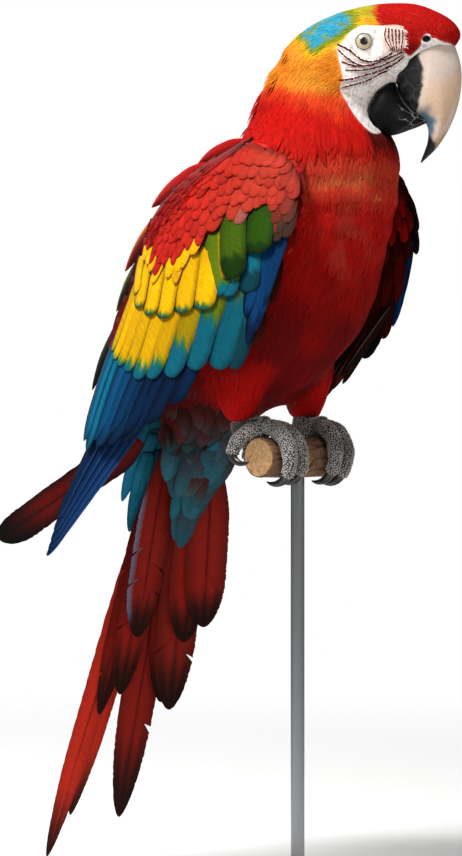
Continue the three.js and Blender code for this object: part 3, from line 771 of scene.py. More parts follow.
# Where the bill's horn begins, as forwards and up on the face map.
CERE_EDGE = [(36, 40, 46.9, 52, 58.4, 63, 67.6, 74, 80), (-12, -6, -0.6, 2.6, 5.2, 6.9, 7.8, 7.2, 5.4)]
# Rows of tiny feathers on the bare face, on the face map, from the back of the cheek forwards.
CHEEK_ROWS = [
    [(-18.5, 7.4), (-10, 2.7), (-2.5, -3.7), (6, -6.8), (16.5, -5), (26, 0.5)],
    [(-18.5, 2.5), (-12, -3.8), (-2.5, -9.5), (7, -9.8), (17, -6), (28, -1.6), (35, 1.5)],
    [(-14.5, -7.6), (-7, -10.3), (1, -10.6)],
    [(-11, -14), (1, -14), (15, -10.8), (26, -6), (34, -1.5)],
    [(-16.8, -22.4), (-7, -21), (5, -17.5), (16, -14), (28, -8.5), (36, -2.5)],
    [(-15.5, -28), (-5, -25.6), (7, -21.6), (16, -16.5), (22, -14.1)],
]
LORE_COLUMNS = 6
NOSTRIL = (55.2, 12.3)


def face_rows():
    """All rows of facial feathers, as lines on the face map."""
    rows = [along_curve(line, np.linspace(0, 1, 60)) for line in CHEEK_ROWS]
    for lean in np.linspace(0, 1, LORE_COLUMNS):
        top, bottom = (20.2 + 14.4 * lean, 22 - 2.0 * lean), (24.5 + 9.0 * lean, 4.5 - 2 * lean)
        middle = ((top[0] + bottom[0]) / 2 - 2.2 + 3.0 * lean, 13 - lean)
        rows.append(along_curve([top, middle, bottom], np.linspace(0, 1, 40)))
    return rows


def coat_depth(p, wing):
    """How far the skin lies inside the solids, and how bare it is."""
    flat = face_map(p)
    bare = bare_share(p, flat, -2.5, 1.5)
    depth = 2.8 - 2.3 * smooth(290, 330, p[:, 2]) + 1.2 * smooth(48, 66, flat[:, 0]) * smooth(300, 330, p[:, 2])
    depth = np.where(wing, 1.6, depth)
    past_cere = smooth(0.4, -1.6, flat[:, 1] - np.interp(flat[:, 0], *CERE_EDGE)) * smooth(38, 44, flat[:, 0])
    shallow = 0.4 + 2.2 * smooth(-38, -58, flat[:, 1]) + 2.6 * past_cere
    return depth * (1 - bare) + shallow * bare, bare


def flesh_kinds(p):
    """Which places belong to the thighs and which to the wings, and how near each is to a thigh's seam."""
    trunk, thigh, wing = (distances(tree_of(nodes), p) for nodes in (FLESH[:3], THIGHS, SHOULDERS))
    seam = np.exp(-((np.maximum(thigh, trunk) / 20) ** 4)) * smooth(108, 90, p[:, 2] - 0.5 * np.minimum(wing, 20))
    return (thigh < trunk) & (thigh < wing), (wing < trunk) & (wing <= thigh), seam


VOXEL = 2.8


def make_skin():
    """One skin over trunk, neck, head, thighs and shoulders, with the face's folds and lids."""
    # the eyes fill their sockets, and the lids are drawn over them
    scratch = show("scratch", gather(FLESH + ["eye_right", "eye_left"]))
    remesh = scratch.modifiers.new("Remesh", "REMESH")
    remesh.mode, remesh.voxel_size = "VOXEL", VOXEL * MM
    solid = bpy.data.meshes.new_from_object(scratch.evaluated_get(bpy.context.evaluated_depsgraph_get()))
    bpy.data.objects.remove(scratch)
    bm = bmesh.new()
    bm.from_mesh(solid)
    for margin in (-3, -2):  # the face is made finer, in two steps
        co = from_floor(np.array([v.co for v in bm.verts]))
        fine = (inside_outline(face_map(co), FACE_LOOP) > margin) & (co[:, 2] > FACE_FROM)
        edges = [e for e in bm.edges if fine[e.verts[0].index] and fine[e.verts[1].index]]
        bmesh.ops.subdivide_edges(bm, edges=edges, cuts=1, use_grid_fill=True)
        bm.verts.index_update()
    bm.to_mesh(solid)
    bm.free()
    skin = Surface(bird_points(solid), read_faces(solid))
    bpy.data.meshes.remove(solid)
    for _ in range(10):
        skin.relax(1, 0.5)
        skin.relax(1, -0.5)
    skin.relax(6, 0.5)
    skin.thigh, skin.wing, seam = flesh_kinds(skin.points)
    skin.relax(170, 0.5 * seam)
    depth, bare = coat_depth(skin.points, skin.wing)
    skin.push(-depth)
    skin.relax(5, 0.4 * (1 - bare))
    skin.push(breast_folds(skin.points, skin.wing | skin.thigh))
    height = skin.points[:, 2]
    skin.push(7.5 * smooth(17, 30, height) * smooth(76, 40, height) * skin.thigh)
    skin.relax(6, 0.4 * skin.thigh)
    height = skin.points[:, 2]
    skin.relax(80, 0.5 * smooth(50, 62, height) * smooth(100, 88, height) * skin.thigh)
    skin.relax(1, 0.4 * (1 - bare))
    skin.crease = shape_face(skin)
    return skin


def breast_folds(p, other):
    """The collar where the neck's plumage overlaps the breast, and the soft waves below it."""
    z = p[:, 2] + 2.5 * mottle(p, 45, 15)
    front = smooth(-20, 25, p[:, 0] + 0.3 * np.abs(p[:, 1]))
    collar = 2.4 * smooth(246, 256, z) * smooth(296, 262, z) * front
    waves = 1.2 * np.sin(2 * pi * (z - 238) / 24) * smooth(165, 192, z) * smooth(250, 246, z) * front
    soft = 1.1 * mottle(p, 48, 16) * smooth(60, 100, p[:, 2]) * smooth(240, 220, p[:, 2])
    return np.where(other, 0, collar + waves + soft)


def shape_face(skin):
    """Eye openings, lids and the fine folds of the bare face."""
    normals = skin.normals()
    flat = face_map(skin.points)
    bare = bare_share(skin.points, flat, -1.0, 1.5)
    lift = np.zeros(len(skin.points))
    for line in face_rows():
        gap = np.linalg.norm(flat[:, None] - line[None, ::3], axis=-1).min(1)
        lift += 0.4 * bell(gap, 1.0) - 0.2 * bell(gap - 2.2, 0.9)
    for side, _ in SIDES:
        axis = eye_axis(side)
        offset = skin.points - eye_centre(side)
        ahead = offset @ axis
        radius = np.linalg.norm(offset - ahead[:, None] * axis, axis=-1)
        near = (radius < 20) & (ahead > -2)
        rings = 0.26 * np.sin(2 * pi * radius / 1.9 + 1.5 * mottle(skin.points, 14, 17))
        rings *= smooth(9.5, 11, radius) * smooth(18, 13, radius)
        lift += np.where(near, rings, 0)
        opening, sunk = EYE["opening"], EYE["radius"] - 1.6
        lid = np.maximum(np.sqrt(np.maximum(EYE["radius"] ** 2 - radius**2, 0)) + 0.3, 6.6)
        lid = lid + 0.6 * bell(radius - opening - 0.9, 0.8)
        target = np.where(radius < opening, np.sqrt(np.maximum(sunk**2 - radius**2, 0)), lid)
        shift = (target - ahead) * smooth(17, 8.5, radius) * near
        skin.points = skin.points + axis * shift[:, None]
    from_bill = np.hypot(flat[:, 0] - 34, flat[:, 1] + 42) + 2.2 * mottle(skin.points, 14, 18)
    fine = np.sin(2 * pi * from_bill / 2.3 + 2.5 * mottle(skin.points, 9, 19))
    fine = fine * (0.6 + 0.4 * mottle(skin.points, 7, 20))
    lift += 0.15 * fine * smooth(-14, -26, flat[:, 1])
    lift -= 2.4 * smooth(1.1, 0.6, from_nostril(flat, 3.6, 2.9))
    skin.points = skin.points + normals * (lift * bare)[:, None]
    # how deep in a fold each bare place lies, for the painted shade there
    return np.clip(-lift * 2.5, 0, 1) * bare


# ------------------------------------------------------------------ body plumage
COAT_SIZES = {  # length, half width, spacing in mm; finer than life on the head, where the real ones look like fur
    "crown": (8, 1.1, 2.0), "cheek": (9.5, 1.15, 2.2), "neck": (14, 1.7, 2.6), "breast": (16, 1.9, 2.8),
    "belly": (17, 2.1, 3.1), "thigh": (15, 2.0, 3.0), "shoulder": (13, 4.5, 6.0)}


def size_at(p, thigh, wing):
    """Feather length, half width and spacing at each place on the skin."""
    table = {name: np.array(values, float) for name, values in COAT_SIZES.items()}
    flat = face_map(p)
    head = head_share(p)[:, None]
    near_face = smooth(14, 0, -inside_outline(flat, FACE_LOOP))[:, None]
    on_head = table["cheek"] * (1 - near_face) + table["crown"] * near_face
    on_head = on_head * (1 - 0.35 * smooth(15, 45, flat[:, 0])[:, None] * np.array([1, 0.7, 0.6]))
    low = smooth(165, 110, p[:, 2])[:, None]
    body = table["breast"] * (1 - low) + table["belly"] * low
    neck = smooth(240, 290, p[:, 2])[:, None]
    body = body * (1 - neck) + table["neck"] * neck
    sizes = body * (1 - head) + on_head * head
    sizes = np.where(thigh[:, None], table["thigh"], sizes)
    return np.where(wing[:, None], table["shoulder"], sizes)


def from_nostril(flat, half_long, half_high):
    """Distance from the nostril's middle on the face map, 1 on an oval of the given half sizes."""
    return np.hypot((flat[:, 0] - NOSTRIL[0]) / half_long, (flat[:, 1] - NOSTRIL[1]) / half_high)


def lie_at(p, thigh, wing_side):
    """The way the coat lies: back from the bill, down the neck and body to the tail, and down the wing."""
    inward = 0.12 * np.sign(p[:, 1]) * smooth(30, 0, np.abs(p[:, 1]))
    lie = unit(-spine_at(p)[1] + inward[:, None] * [0, 1, 0])
    local = head_local(p)
    from_bill = unit(p - head_place(72.0, 0.0, 2.0))
    back = unit(from_bill + np.array([0, 0, -0.25]) * smooth(30, -30, local[:, 0])[:, None])
    share = (head_share(p) * smooth(-55, -5, local[:, 0] + 0.4 * local[:, 2]))[:, None]
    lie = lie * (1 - share) + back * share
    lie = np.where(thigh[:, None], [-0.25, 0, -1.0], lie)
    v, t = np.meshgrid(np.linspace(0, 1, 12), np.linspace(0.02, 0.6, 24), indexing="ij")
    for side, _ in SIDES:
        here = wing_side == side
        grid, ahead = wing_surface(side, v, t), wing_surface(side, v, t + 0.02)
        tree = search_tree(grid.reshape(-1, 3))
        flow = unit(ahead - grid).reshape(-1, 3)
        lie[here] = [flow[tree.find(q)[1]] for q in p[here]]
    return unit(lie)


def scatter(skin, rng, tries):
    """Evenly spread places on the skin, spaced by feather size, with their smooth normals and kinds."""
    a, b, c = skin.corners()
    area = np.linalg.norm(np.cross(b - a, c - a), axis=1) / 2
    thigh, wing = skin.thigh[skin.triangles[:, 0]], skin.wing[skin.triangles[:, 0]]
    spacing = size_at((a + b + c) / 3, thigh, wing)[:, 2]
    weight = area / spacing**2
    chosen = rng.choice(len(area), tries, p=weight / weight.sum())
    r1, r2 = np.sqrt(rng.random((tries, 1))), rng.random((tries, 1))
    shares = (1 - r1, r1 * (1 - r2), r1 * r2)
    p = a[chosen] * shares[0] + b[chosen] * shares[1] + c[chosen] * shares[2]
    point_normals = skin.normals()
    normal = unit(sum(point_normals[skin.triangles[chosen, k]] * shares[k] for k in range(3)))
    kept = thin_out(p, spacing[chosen] * 0.82)
    return p[kept], normal[kept], thigh[chosen][kept], wing[chosen][kept]


def settle(tree, root, lie, normal, length, lift_mid, lift_tip):
    """Lays straight or gently curved vanes over a surface: their direction, outward side and bend."""
    along = square_to(lie, normal)
    placed = []
    for share, lift in ((0.5, lift_mid), (1.0, lift_tip)):
        hits = [tree.find_nearest(Vector(q)) for q in root + along * length[:, None] * share]
        placed.append(np.array([hit[0] for hit in hits]) + np.array([hit[1] for hit in hits]) * lift[:, None])
    return through_points(root, *placed, normal)


def through_points(root, middle, tip, normal):
    """A vane's starting direction, outward side, chord and bend, from its quill, middle and tip."""
    chord = tip - root
    size = np.linalg.norm(chord, axis=-1)
    ahead = chord / np.maximum(size, 1e-6)[:, None]
    out = square_to(normal, ahead)
    sag = ((middle - (root + tip) / 2) * out).sum(-1)
    bend = np.clip(8 * sag / np.maximum(size, 1e-6), -0.7, 1.4)
    half = bend[:, None] / 2
    return ahead * np.cos(half) + out * np.sin(half), out * np.cos(half) - ahead * np.sin(half), size, bend


def body_unwrap(p):
    """The skin's own unwrap: the angle round the spine's line and the place along it."""
    share, tangent, middle = spine_at(p)
    radial = np.stack([p[:, 0] - middle[:, 0], p[:, 2] - middle[:, 1]], -1)
    ahead = radial[:, 0] * tangent[:, 2] - radial[:, 1] * tangent[:, 0]
    angle = np.arctan2(p[:, 1], ahead) / (2 * pi) + 0.5
    beyond = radial[:, 0] * tangent[:, 0] + radial[:, 1] * tangent[:, 2]
    return np.stack([0.01 + 0.98 * angle, np.clip(0.02 + 0.75 * share + beyond / 420, 0.005, 0.995)], -1)


def shade_down(s, base):
    """Body plumage: painted shade at the quill, under the vane above, its own colour over most of the vane, and
    a painted highlight on the soft tip.
    """
    row = np.clip(s["axial"], 0, 1)
    tone = (0.95 + 0.05 * smooth(0.05, 0.55, row)) * (1 + 0.12 * smooth(0.6, 1.0, row))
    s["colour"] = base[:, None, None] * tone[..., None]
    return s


SCATTER_TRIES = 170000


def cover_body(skin, tree):
    """All small feathers: head, neck, body, thighs and the fronts of the shoulders."""
    rng = np.random.default_rng(11)
    p, normal, thigh, wing = scatter(skin, rng, SCATTER_TRIES)
    bill_gap = distances(tree_of(["bill_upper", "bill_lower"]), p)
    on_face = (inside_outline(face_map(p), FACE_LOOP) > -0.5) & (p[:, 2] > FACE_FROM + 2)
    side = np.where(wing, np.sign(p[:, 1]), 0)
    outside, cape = np.zeros(len(p), bool), np.zeros(len(p), bool)
    for wing_side, _ in SIDES:
        here = side == wing_side
        v, t = wing_place(wing_side, p[here])
        facing = normal[here, 1] * wing_side
        edge = cape_edge(v) + 0.01
        outside[here] = ((facing > 0.3) & (v > 0.07) & (t > edge)) | ((facing < 0) & (t > 0.12))
        cape[here] = (t < edge) & (p[here, 2] > 236)
    keep = ~on_face & (bill_gap > 1.2) & ~outside
    p, normal, thigh, wing, side, cape = (given[keep] for given in (p, normal, thigh, wing, side, cape))
    nowhere = np.zeros(len(p), bool)
    size = np.where(cape[:, None], size_at(p, thigh, nowhere) * [1.15, 1.25, 1], size_at(p, thigh, wing))
    lie = unit(lie_at(p, thigh, side) + 0.07 * rng.normal(size=p.shape))
    length = size[:, 0] * rng.uniform(0.85, 1.2, len(p))
    half = size[:, 1] * rng.uniform(0.85, 1.2, len(p))
    tuft = smooth(0.45, 0.9, mottle(p, 13, 33)) * smooth(-56, -64, face_map(p)[:, 0]) * (p[:, 2] > 286)
    stand = np.interp(length, [5, 10, 16, 24], [0.28, 0.3, 0.5, 0.7]) + 2.6 * tuft
    stand = np.where(cape, 2.2, stand)
    along, out, chord, bend = settle(tree, p - normal * 0.1, lie, normal, length, stand * 0.8,
                                     stand * rng.uniform(0.75, 1.25, len(p)))
    free = distances(tree, p + square_to(lie, normal) * length[:, None])  # how far a straight tip would stand off
    sound = (chord > 0.6 * length) & (chord < 1.3 * length) & (free < 6.0)
    wing = wing & ~cape
    side = np.where(cape, 0, side)
    colour = jitter(rng, coat_colour(p + along * length[:, None] * 0.6), 0.07)
    thigh_red = jitter(rng, np.tile(mix(SCARLET, BLOOD, 0.5), (len(p), 1)), 0.05)
    flank = smooth(15, 2, distances(tree_of(THIGHS), p)) * (p[:, 0] < 40)
    colour = layered(colour, (CORAL, 0.6 * cape),
                     (thigh_red, np.where(thigh, 0.6 + 0.4 * smooth(86, 64, p[:, 2]), 0.6 * flank)))
    places = body_unwrap(p)
    head = (p[:, 2] > 292) & ~wing & ~thigh
    face_side = p[:, 0] + 0.65 * p[:, 1] > 58
    front = p[:, 0] > spine_at(p)[2][:, 0]
    body, high = ~head & ~wing & ~thigh, p[:, 2] > 190
    groups = {
        "plumage_head": (head & face_side, HAIRY, "feathers_scarlet", ["head"]),
        "plumage_nape": (head & ~face_side, HAIRY, "feathers_orange", ["neck"]),
        "plumage_breast": (body & front & high, DOWN, "feathers_scarlet", ["trunk"]),
        "plumage_belly": (body & front & ~high, DOWN, "feathers_scarlet", ["trunk"]),
        "plumage_back": (body & ~front & high, DOWN, "feathers_scarlet", ["trunk"]),
        "plumage_rump": (body & ~front & ~high, DOWN, "feathers_scarlet", ["trunk"]),
        "plumage_thighs": (thigh, HAIRY, "feathers_scarlet", THIGHS),
    }
    for name, (here, kind, slot, nodes) in groups.items():
        here = here & sound
        s = grow_vanes(rng, kind, p[here], along[here], out[here], chord[here], half[here], bend[here])
        small_patches(shade_down(s, colour[here]), places[here])
        join_vanes(name, [s], PLUMAGE, nodes)
    for wing_side, name in SIDES:
        here = side == wing_side
        s = grow_vanes(rng, SCALE, p[here], along[here], out[here], chord[here], half[here], bend[here])
        v, t = wing_place(wing_side, p[here] + along[here] * length[here, None] * 0.7)
        # painted shade on the vanes turned towards the body, and dark maroon margins of painted shade between vanes
        base = mix(lesser_colour(v, t), mix(BLOOD, MAROON, 0.7), smooth(0.6, 0.2, normal[here, 1] * wing_side))
        paint(rng, s, base, edge=MAROON, edge_share=0.25, quill=0.6, amount=0.07)
        small_patches(s, places[here])
        join_vanes("shoulder_edge_" + name, [s], PLUMAGE, ["wing_%s_shoulder" % name])


def wing_place(side, p):
    """The (v, t) of the nearest place on the folded wing."""
    v, t = np.meshgrid(np.linspace(0, 1, 41), np.linspace(0, 0.6, 37), indexing="ij")
    tree = search_tree(wing_surface(side, v, t).reshape(-1, 3))
    found = np.array([tree.find(q)[1] for q in p])
    return v.ravel()[found], t.ravel()[found]


def face_colour(p, flat, crease):
    """Bare facial skin: chalky white, pinker in the lores, with painted shade in its folds and a nostril painted
    black for the shade inside its opening.
    """
    x, z = flat[:, 0], flat[:, 1]
    chalk = np.clip(0.25 * mottle(p, 8, 14) + 0.4 * mottle(p, 2.4, 15) + 0.22, 0, 1)
    lores = smooth(14, 22, x) * smooth(40, 34, x) * smooth(-2, 4, z)
    from_eye = np.hypot(x - face_map(eye_centre(RIGHT)[None])[0, 0], z - EYE["z"])
    # painted shade in the face's folds and inside the nostril's opening
    return layered(mix(BARE, "#BFB1A9", chalk), (PINK, lores * 0.9), ("#7E6D66", crease * 0.7),
                   (BLACK, smooth(1.15, 0.8, from_nostril(flat, 3.9, 3.1))),
                   ("#8A807B", bell(from_eye - 7.2, 0.5) * 0.8))


# ------------------------------------------------------------------ painting large vanes


def paint(rng, s, base, end=None, end_from=0.85, soft=0.08, edge=INK, edge_share=0.0, edge_from=0.45, shaft=INK,
          shaft_share=0.0, quill=0.7, amount=0.05, under=None, lee=0, lee_share=0.6, lee_span=(0.0, 0.9), shade=INK):
    """A large vane: its own colour, going over to another at the tip; a margin, which some callers make a dark
    line of painted shade between vanes; a shaft; painted shade on its side at the lee, which the next vane
    shades; painted shade at its darker quill end, under the vane above; and its underside."""
    count = s["count"]
    row = np.clip(s["axial"], 0, 1)
    colour = jitter(rng, np.broadcast_to(base, (count, 3)), amount)[:, None, None]
    if end is not None:
        end = jitter(rng, np.broadcast_to(end, (count, 3)), amount)[:, None, None]
        start = np.broadcast_to(end_from, (count,))[:, None, None]
        wobble = 0.03 * np.sin(9 * s["side"] + rng.uniform(0, 6, (count, 1, 1)))
        share = smooth(start - soft, start + soft, row + wobble)[..., None]
        colour = colour ** (1 - share) * end**share  # pigments mix by multiplying
    colour = layered(
        colour,
        (edge, edge_share * smooth(edge_from, 0.95, s["reach"])),
        (shaft, shaft_share * (s["reach"] < 0.01) * smooth(1.0, 0.6, row)),
        (shade, lee_share * smooth(*lee_span, s["side"] * lee) if lee else 0 * row))
    # painted shade towards the quill end, under the vane above
    colour = colour * (quill + (1 - quill) * smooth(0, 0.5, row))[..., None]
    s["colour"] = colour if under is None else mix(colour, under, 0.85 * (s["face"] < 0))
    return s


# ------------------------------------------------------------------ wings


def lay_on_wing(rng, side, kind, rows, heights, roll_deg=5.0, face=1, sweep=0.0):
    """Vanes on the folded wing, each given as (v, t) of its root, (v, t) of its tip and its half width.
    heights are those of roots and tips over the wing; roll_deg tips each vane so that its back edge goes under
    the next one."""
    v0, t0, v1, t1, half = np.array(rows, float).T
    v1 = v1 + rng.normal(0, 0.006, len(v1))
    t1 = t1 + rng.normal(0, 0.004, len(v1))
    root = wing_surface(side, v0, t0, heights[0], face)
    tip = wing_surface(side, v1, t1, heights[1], face)
    vm, tm = (v0 + v1) / 2, (t0 + t1) / 2
    middle = wing_surface(side, vm, tm, sum(heights) / 2 + 0.6, face)
    backward = unit(wing_surface(side, vm + 0.03, tm) - wing_surface(side, vm - 0.03, tm))
    downward = unit(wing_surface(side, vm, tm + 0.02) - wing_surface(side, vm, tm - 0.02))
    normal = unit(np.cross(backward, downward))
    normal *= np.sign(normal[:, 1:2] * side * face)
    roll = radians(roll_deg)
    along, out, chord, bend = through_points(root, middle, tip, normal * cos(roll) + backward * sin(roll))
    return grow_vanes(rng, kind, root, along, out, chord, half, bend, sweep)


# Where the red small coverts end, as (v, t) from the back of the wing to its front.
RED_HEM = [(1.0, 0.43), (0.935, 0.46), (0.79, 0.545), (0.715, 0.49), (0.657, 0.557), (0.61, 0.527), (0.583, 0.475),
           (0.53, 0.485), (0.505, 0.435), (0.42, 0.448), (0.37, 0.40), (0.31, 0.425), (0.25, 0.36), (0.17, 0.378),
           (0.10, 0.415), (0.06, 0.49), (0.0, 0.51)]

# The long coverts: v and t of the root, v and t of the tip, half width, colour, colour of the end, and the share
# of the length where that starts.
GREATER_COVERTS = [(v + 0.04, 0.51, v, *rest) for v, *rest in (
    (0.955, 0.76, 6, YELLOW * 0.75, LIME, 0.95), (0.905, 0.79, 9, YELLOW, TEAL, 0.97),
    (0.845, 0.812, 12, YELLOW * 0.85, TEAL, 0.94), (0.765, 0.826, 14, YELLOW * 0.85, TEAL, 0.9),
    (0.65, 0.848, 15.5, YELLOW * 0.8, TEAL, 0.87), (0.545, 0.855, 16, YELLOW * 0.7, TEAL, 0.83),
    (0.41, 0.847, 17, mix(YELLOW, LIME, 0.5) * 0.7, TEAL, 0.7), (0.29, 0.836, 17, LIME * 0.65, TEAL * 0.9, 0.52),
    (0.135, 0.835, 18, mix(LIME, TEAL, 0.5) * 0.5, TEAL * 0.8, 0.4), (0.025, 0.838, 13, TEAL * 0.8, PINE, 0.6))]
POOL = mix(TEAL, GREEN, 0.55)
MEDIAN_COVERTS = [(v + 0.09, 0.47, v, *rest) for v, *rest in (
    (0.93, 0.59, 9, YELLOW, LIME, 0.95), (0.865, 0.635, 12, YELLOW, POOL, 0.94),
    (0.755, 0.657, 15, YELLOW, POOL, 0.93), (0.632, 0.676, 16, YELLOW, POOL, 0.93),
    (0.507, 0.664, 17, YELLOW, POOL, 0.92),
    (0.375, 0.648, 19, YELLOW, POOL, 0.91), (0.245, 0.632, 15, LIME * 0.8, TEAL, 0.7),
    (0.12, 0.62, 14, TEAL, PINE, 0.6))]
LIME_COVERTS = [(0.48, 0.43, 0.272, 0.622, 16, mix(LIME, GREEN, 0.5), TEAL, 0.84)]
GREEN_COVERTS = [(0.395, 0.31, 0.225, 0.590, 18.5, mix(GREEN, LIME, 0.2) * 0.85, LEAF, 0.7),
                 (0.20, 0.30, 0.125, 0.513, 17.5, GREEN * 0.75, LEAF, 0.8)]
BLUE_FRONT = [  # at the wing's front edge
    (0.12, 0.46, 0.088, 0.69, 8.5, BLUE * 0.85, NAVY, 0.9), (0.075, 0.45, 0.028, 0.775, 8, BLUE * 0.85, NAVY, 0.8),
    (0.045, 0.45, 0.008, 0.735, 7, BLUE * 0.75, NAVY, 0.8), (0.015, 0.46, -0.008, 0.68, 5, BLUE * 0.65, NAVY, 0.8)]


# The rows from the lowest to the uppermost, with the heights of their roots and tips over the wing.
COVERT_ROWS = [(GREATER_COVERTS, (-2.4, 0.0)), (BLUE_FRONT, (-1.6, 1.2)), (MEDIAN_COVERTS, (-1.0, 1.8)),
               (LIME_COVERTS, (-0.7, 2.1)), (GREEN_COVERTS, (-0.4, 5.0))]


def wing_coverts(rng, side):
    """The long coverts in their rows, and the short ones of the shoulder, red above their hem."""
    sets = []
    for looks, heights in COVERT_ROWS:
        pointed = looks is BLUE_FRONT
        kind = dict(COVERT, round_from=0.6, round_power=1.7) if pointed else COVERT
        s = lay_on_wing(rng, side, kind, [look[:5] for look in looks], heights)
        base, end, end_from = (np.array([look[k] for look in looks]) for k in (5, 6, 7))
        below, edge_share, lee_share = ("#0E4A8C", 0.75, 0.95) if pointed else (UMBER, 0.6, 0.5)
        # dark margins: lines of painted shade between the coverts
        sets.append(paint(rng, s, base, end, end_from, 0.05, edge=SOOT, edge_share=edge_share, edge_from=0.75,
                          shaft=SOOT, shaft_share=0.12, quill=0.75, amount=0.03, under=below, lee=side,
                          lee_share=lee_share))
        if looks is GREEN_COVERTS:
            stripe = smooth(0.8, 0.86, s["side"] * side)
            stripe = stripe * smooth(0.3, 0.4, s["axial"]) * smooth(0.98, 0.9, s["axial"])
            stripe[1:] = 0
            s["colour"] = mix(s["colour"], YELLOW, stripe)
    hem_v, hem_t = np.array(RED_HEM[::-1]).T
    v, t = lesser_places(rng, side)
    past = t - np.interp(v, hem_v, hem_t)
    yellow_hem = (past > 0.006) & (past < 0.05) & (v > 0.5)
    for here, yellow in ((yellow_hem, True), (past < 0.006, False)):
        v1, t1 = v[here], t[here]
        half = np.interp(v1, [0, 0.3, 0.75, 1], [7.6, 8.6, 7.4, 5.5]) * rng.uniform(0.85, 1.15, len(v1))
        t0 = np.maximum(t1 - np.interp(v1, [0, 0.4, 1], [0.15, 0.13, 0.11]), cape_edge(v1) - 0.04)
        rows = np.stack([v1 + 0.02, t0, v1, t1, half], -1)
        s = lay_on_wing(rng, side, SCALE, rows, (-0.6, 3.0), roll_deg=1.0, sweep=rng.normal(0, 0.05, len(rows)))
        # the red ones get maroon margins of painted shade, the shadow under each tip; the yellow ones orange margins
        sets.append(paint(rng, s, YELLOW if yellow else lesser_colour(v1, t1), edge=ORANGE if yellow else MAROON,
                          edge_share=0.45, edge_from=0.75, quill=0.45, amount=0.09, under=UMBER))
    return sets


def cape_edge(v):
    """How far down the wing, as its share t, the neck's and back's small feathers lie over the shoulder."""
    return np.interp(v, [0.0, 0.07, 0.32, 0.5, 0.6, 1.0], [0.17, 0.10, 0.05, 0.065, 0.10, 0.10])


def lesser_places(rng, side):
    """Tips of the short coverts, spread evenly over the upper wing with no two too near."""
    v, t = rng.uniform(0.0, 0.975, 9000), rng.uniform(0.085, 0.60, 9000)
    inside = t > cape_edge(v) + 0.03
    v, t = v[inside], t[inside]
    kept = thin_out(wing_surface(side, v, t), np.interp(v, [0, 0.3, 0.8, 1], [7.0, 8.6, 8.2, 6.5]))
    return v[kept], t[kept]


def lesser_colour(v, t):
    """The red small coverts: coral, greyer brown at the lowest front corner, one greyish pink vane among them."""
    return layered(
        mix(CORAL, SCARLET, smooth(0.25, 0.75, v) * 0.7),
        ("#70241A", smooth(0.14, -0.02, v) * 0.5),
        ("#6E2C22", smooth(0.16, 0.02, v) * smooth(0.32, 0.40, t)),
        ("#3C2C22", smooth(0.10, 0.03, v) * smooth(0.40, 0.44, t)),
        (MAROON, smooth(0.78, 0.95, v) * smooth(0.5, 0.3, t) * 0.85),
        ("#8C5A50", smooth(0.035, 0.01, np.hypot(v - 0.29, t - 0.39))))


def each(normal, like):
    """One outward side, repeated for each of the places."""
    return np.tile(unit(np.array(normal, float)), (len(like), 1))


def flight_feathers(rng, side):
    """Secondaries and primaries."""
    rows = []
    for k, v in enumerate(np.linspace(0.965, 0.22, 10)):
        t = np.interp(v, [0.19, 0.25, 0.4, 1], [0.87, 0.955, 0.995, 0.99]) - 0.01 * (-1) ** k
        rows.append((min(v + 0.05, 0.97), 0.60, v, t, 9.5 if k < 2 else 13.5))
    s = lay_on_wing(rng, side, dict(QUILL, round_from=0.84, round_power=1.7), rows, (-3.6, -0.6), roll_deg=7.0)
    share = np.linspace(0, 1, len(rows))
    base = mix("#0A5080", "#052446", smooth(0.1, 0.7, share))
    base = mix(base, "#106E92", share < 0.12)
    # dark margins: lines of painted shade between the secondaries
    secondaries = paint(rng, s, base, base * 0.55, 0.92, 0.12, edge_share=0.8, edge_from=0.8, shaft_share=0.4,
                        under=UMBER, lee=side, lee_span=(-0.6, 0.1))
    k = np.array([[0.0], [0.16], [0.4], [0.66], [1.0]])  # how far forward each primary lies
    first_root = np.array([-99.0, 71.0, 48.0]) if side == RIGHT else np.array([-118.0, 70.0, 54.0])
    root = (first_root + k * np.array([-28.0, 1.8, 24.0])) * [1, side, 1]
    tip = (np.array([-231.0, 72.0, -96.0]) + k * np.array([16.0, 1.8, 36.0])) * [1, side, 1]
    s = grow_between(rng, dict(QUILL, taper=0.5, round_from=0.9), root, tip, each((-0.32, side, 0.05), root), 2.0,
                     9.5, 0.035 * side)
    base = mix("#0B2E5E", "#072448", np.linspace(0, 1, len(k)))
    paint(rng, s, base, NAVY, 0.85, 0.2, shaft_share=0.5, amount=0.03, under=SOOT, lee=side, lee_share=0.95)
    # a painted highlight along each primary's front edge
    s["colour"] = mix(s["colour"], "#3E66A0", smooth(-0.6, -1.0, s["side"] * side) * 0.3)
    return [secondaries, s]


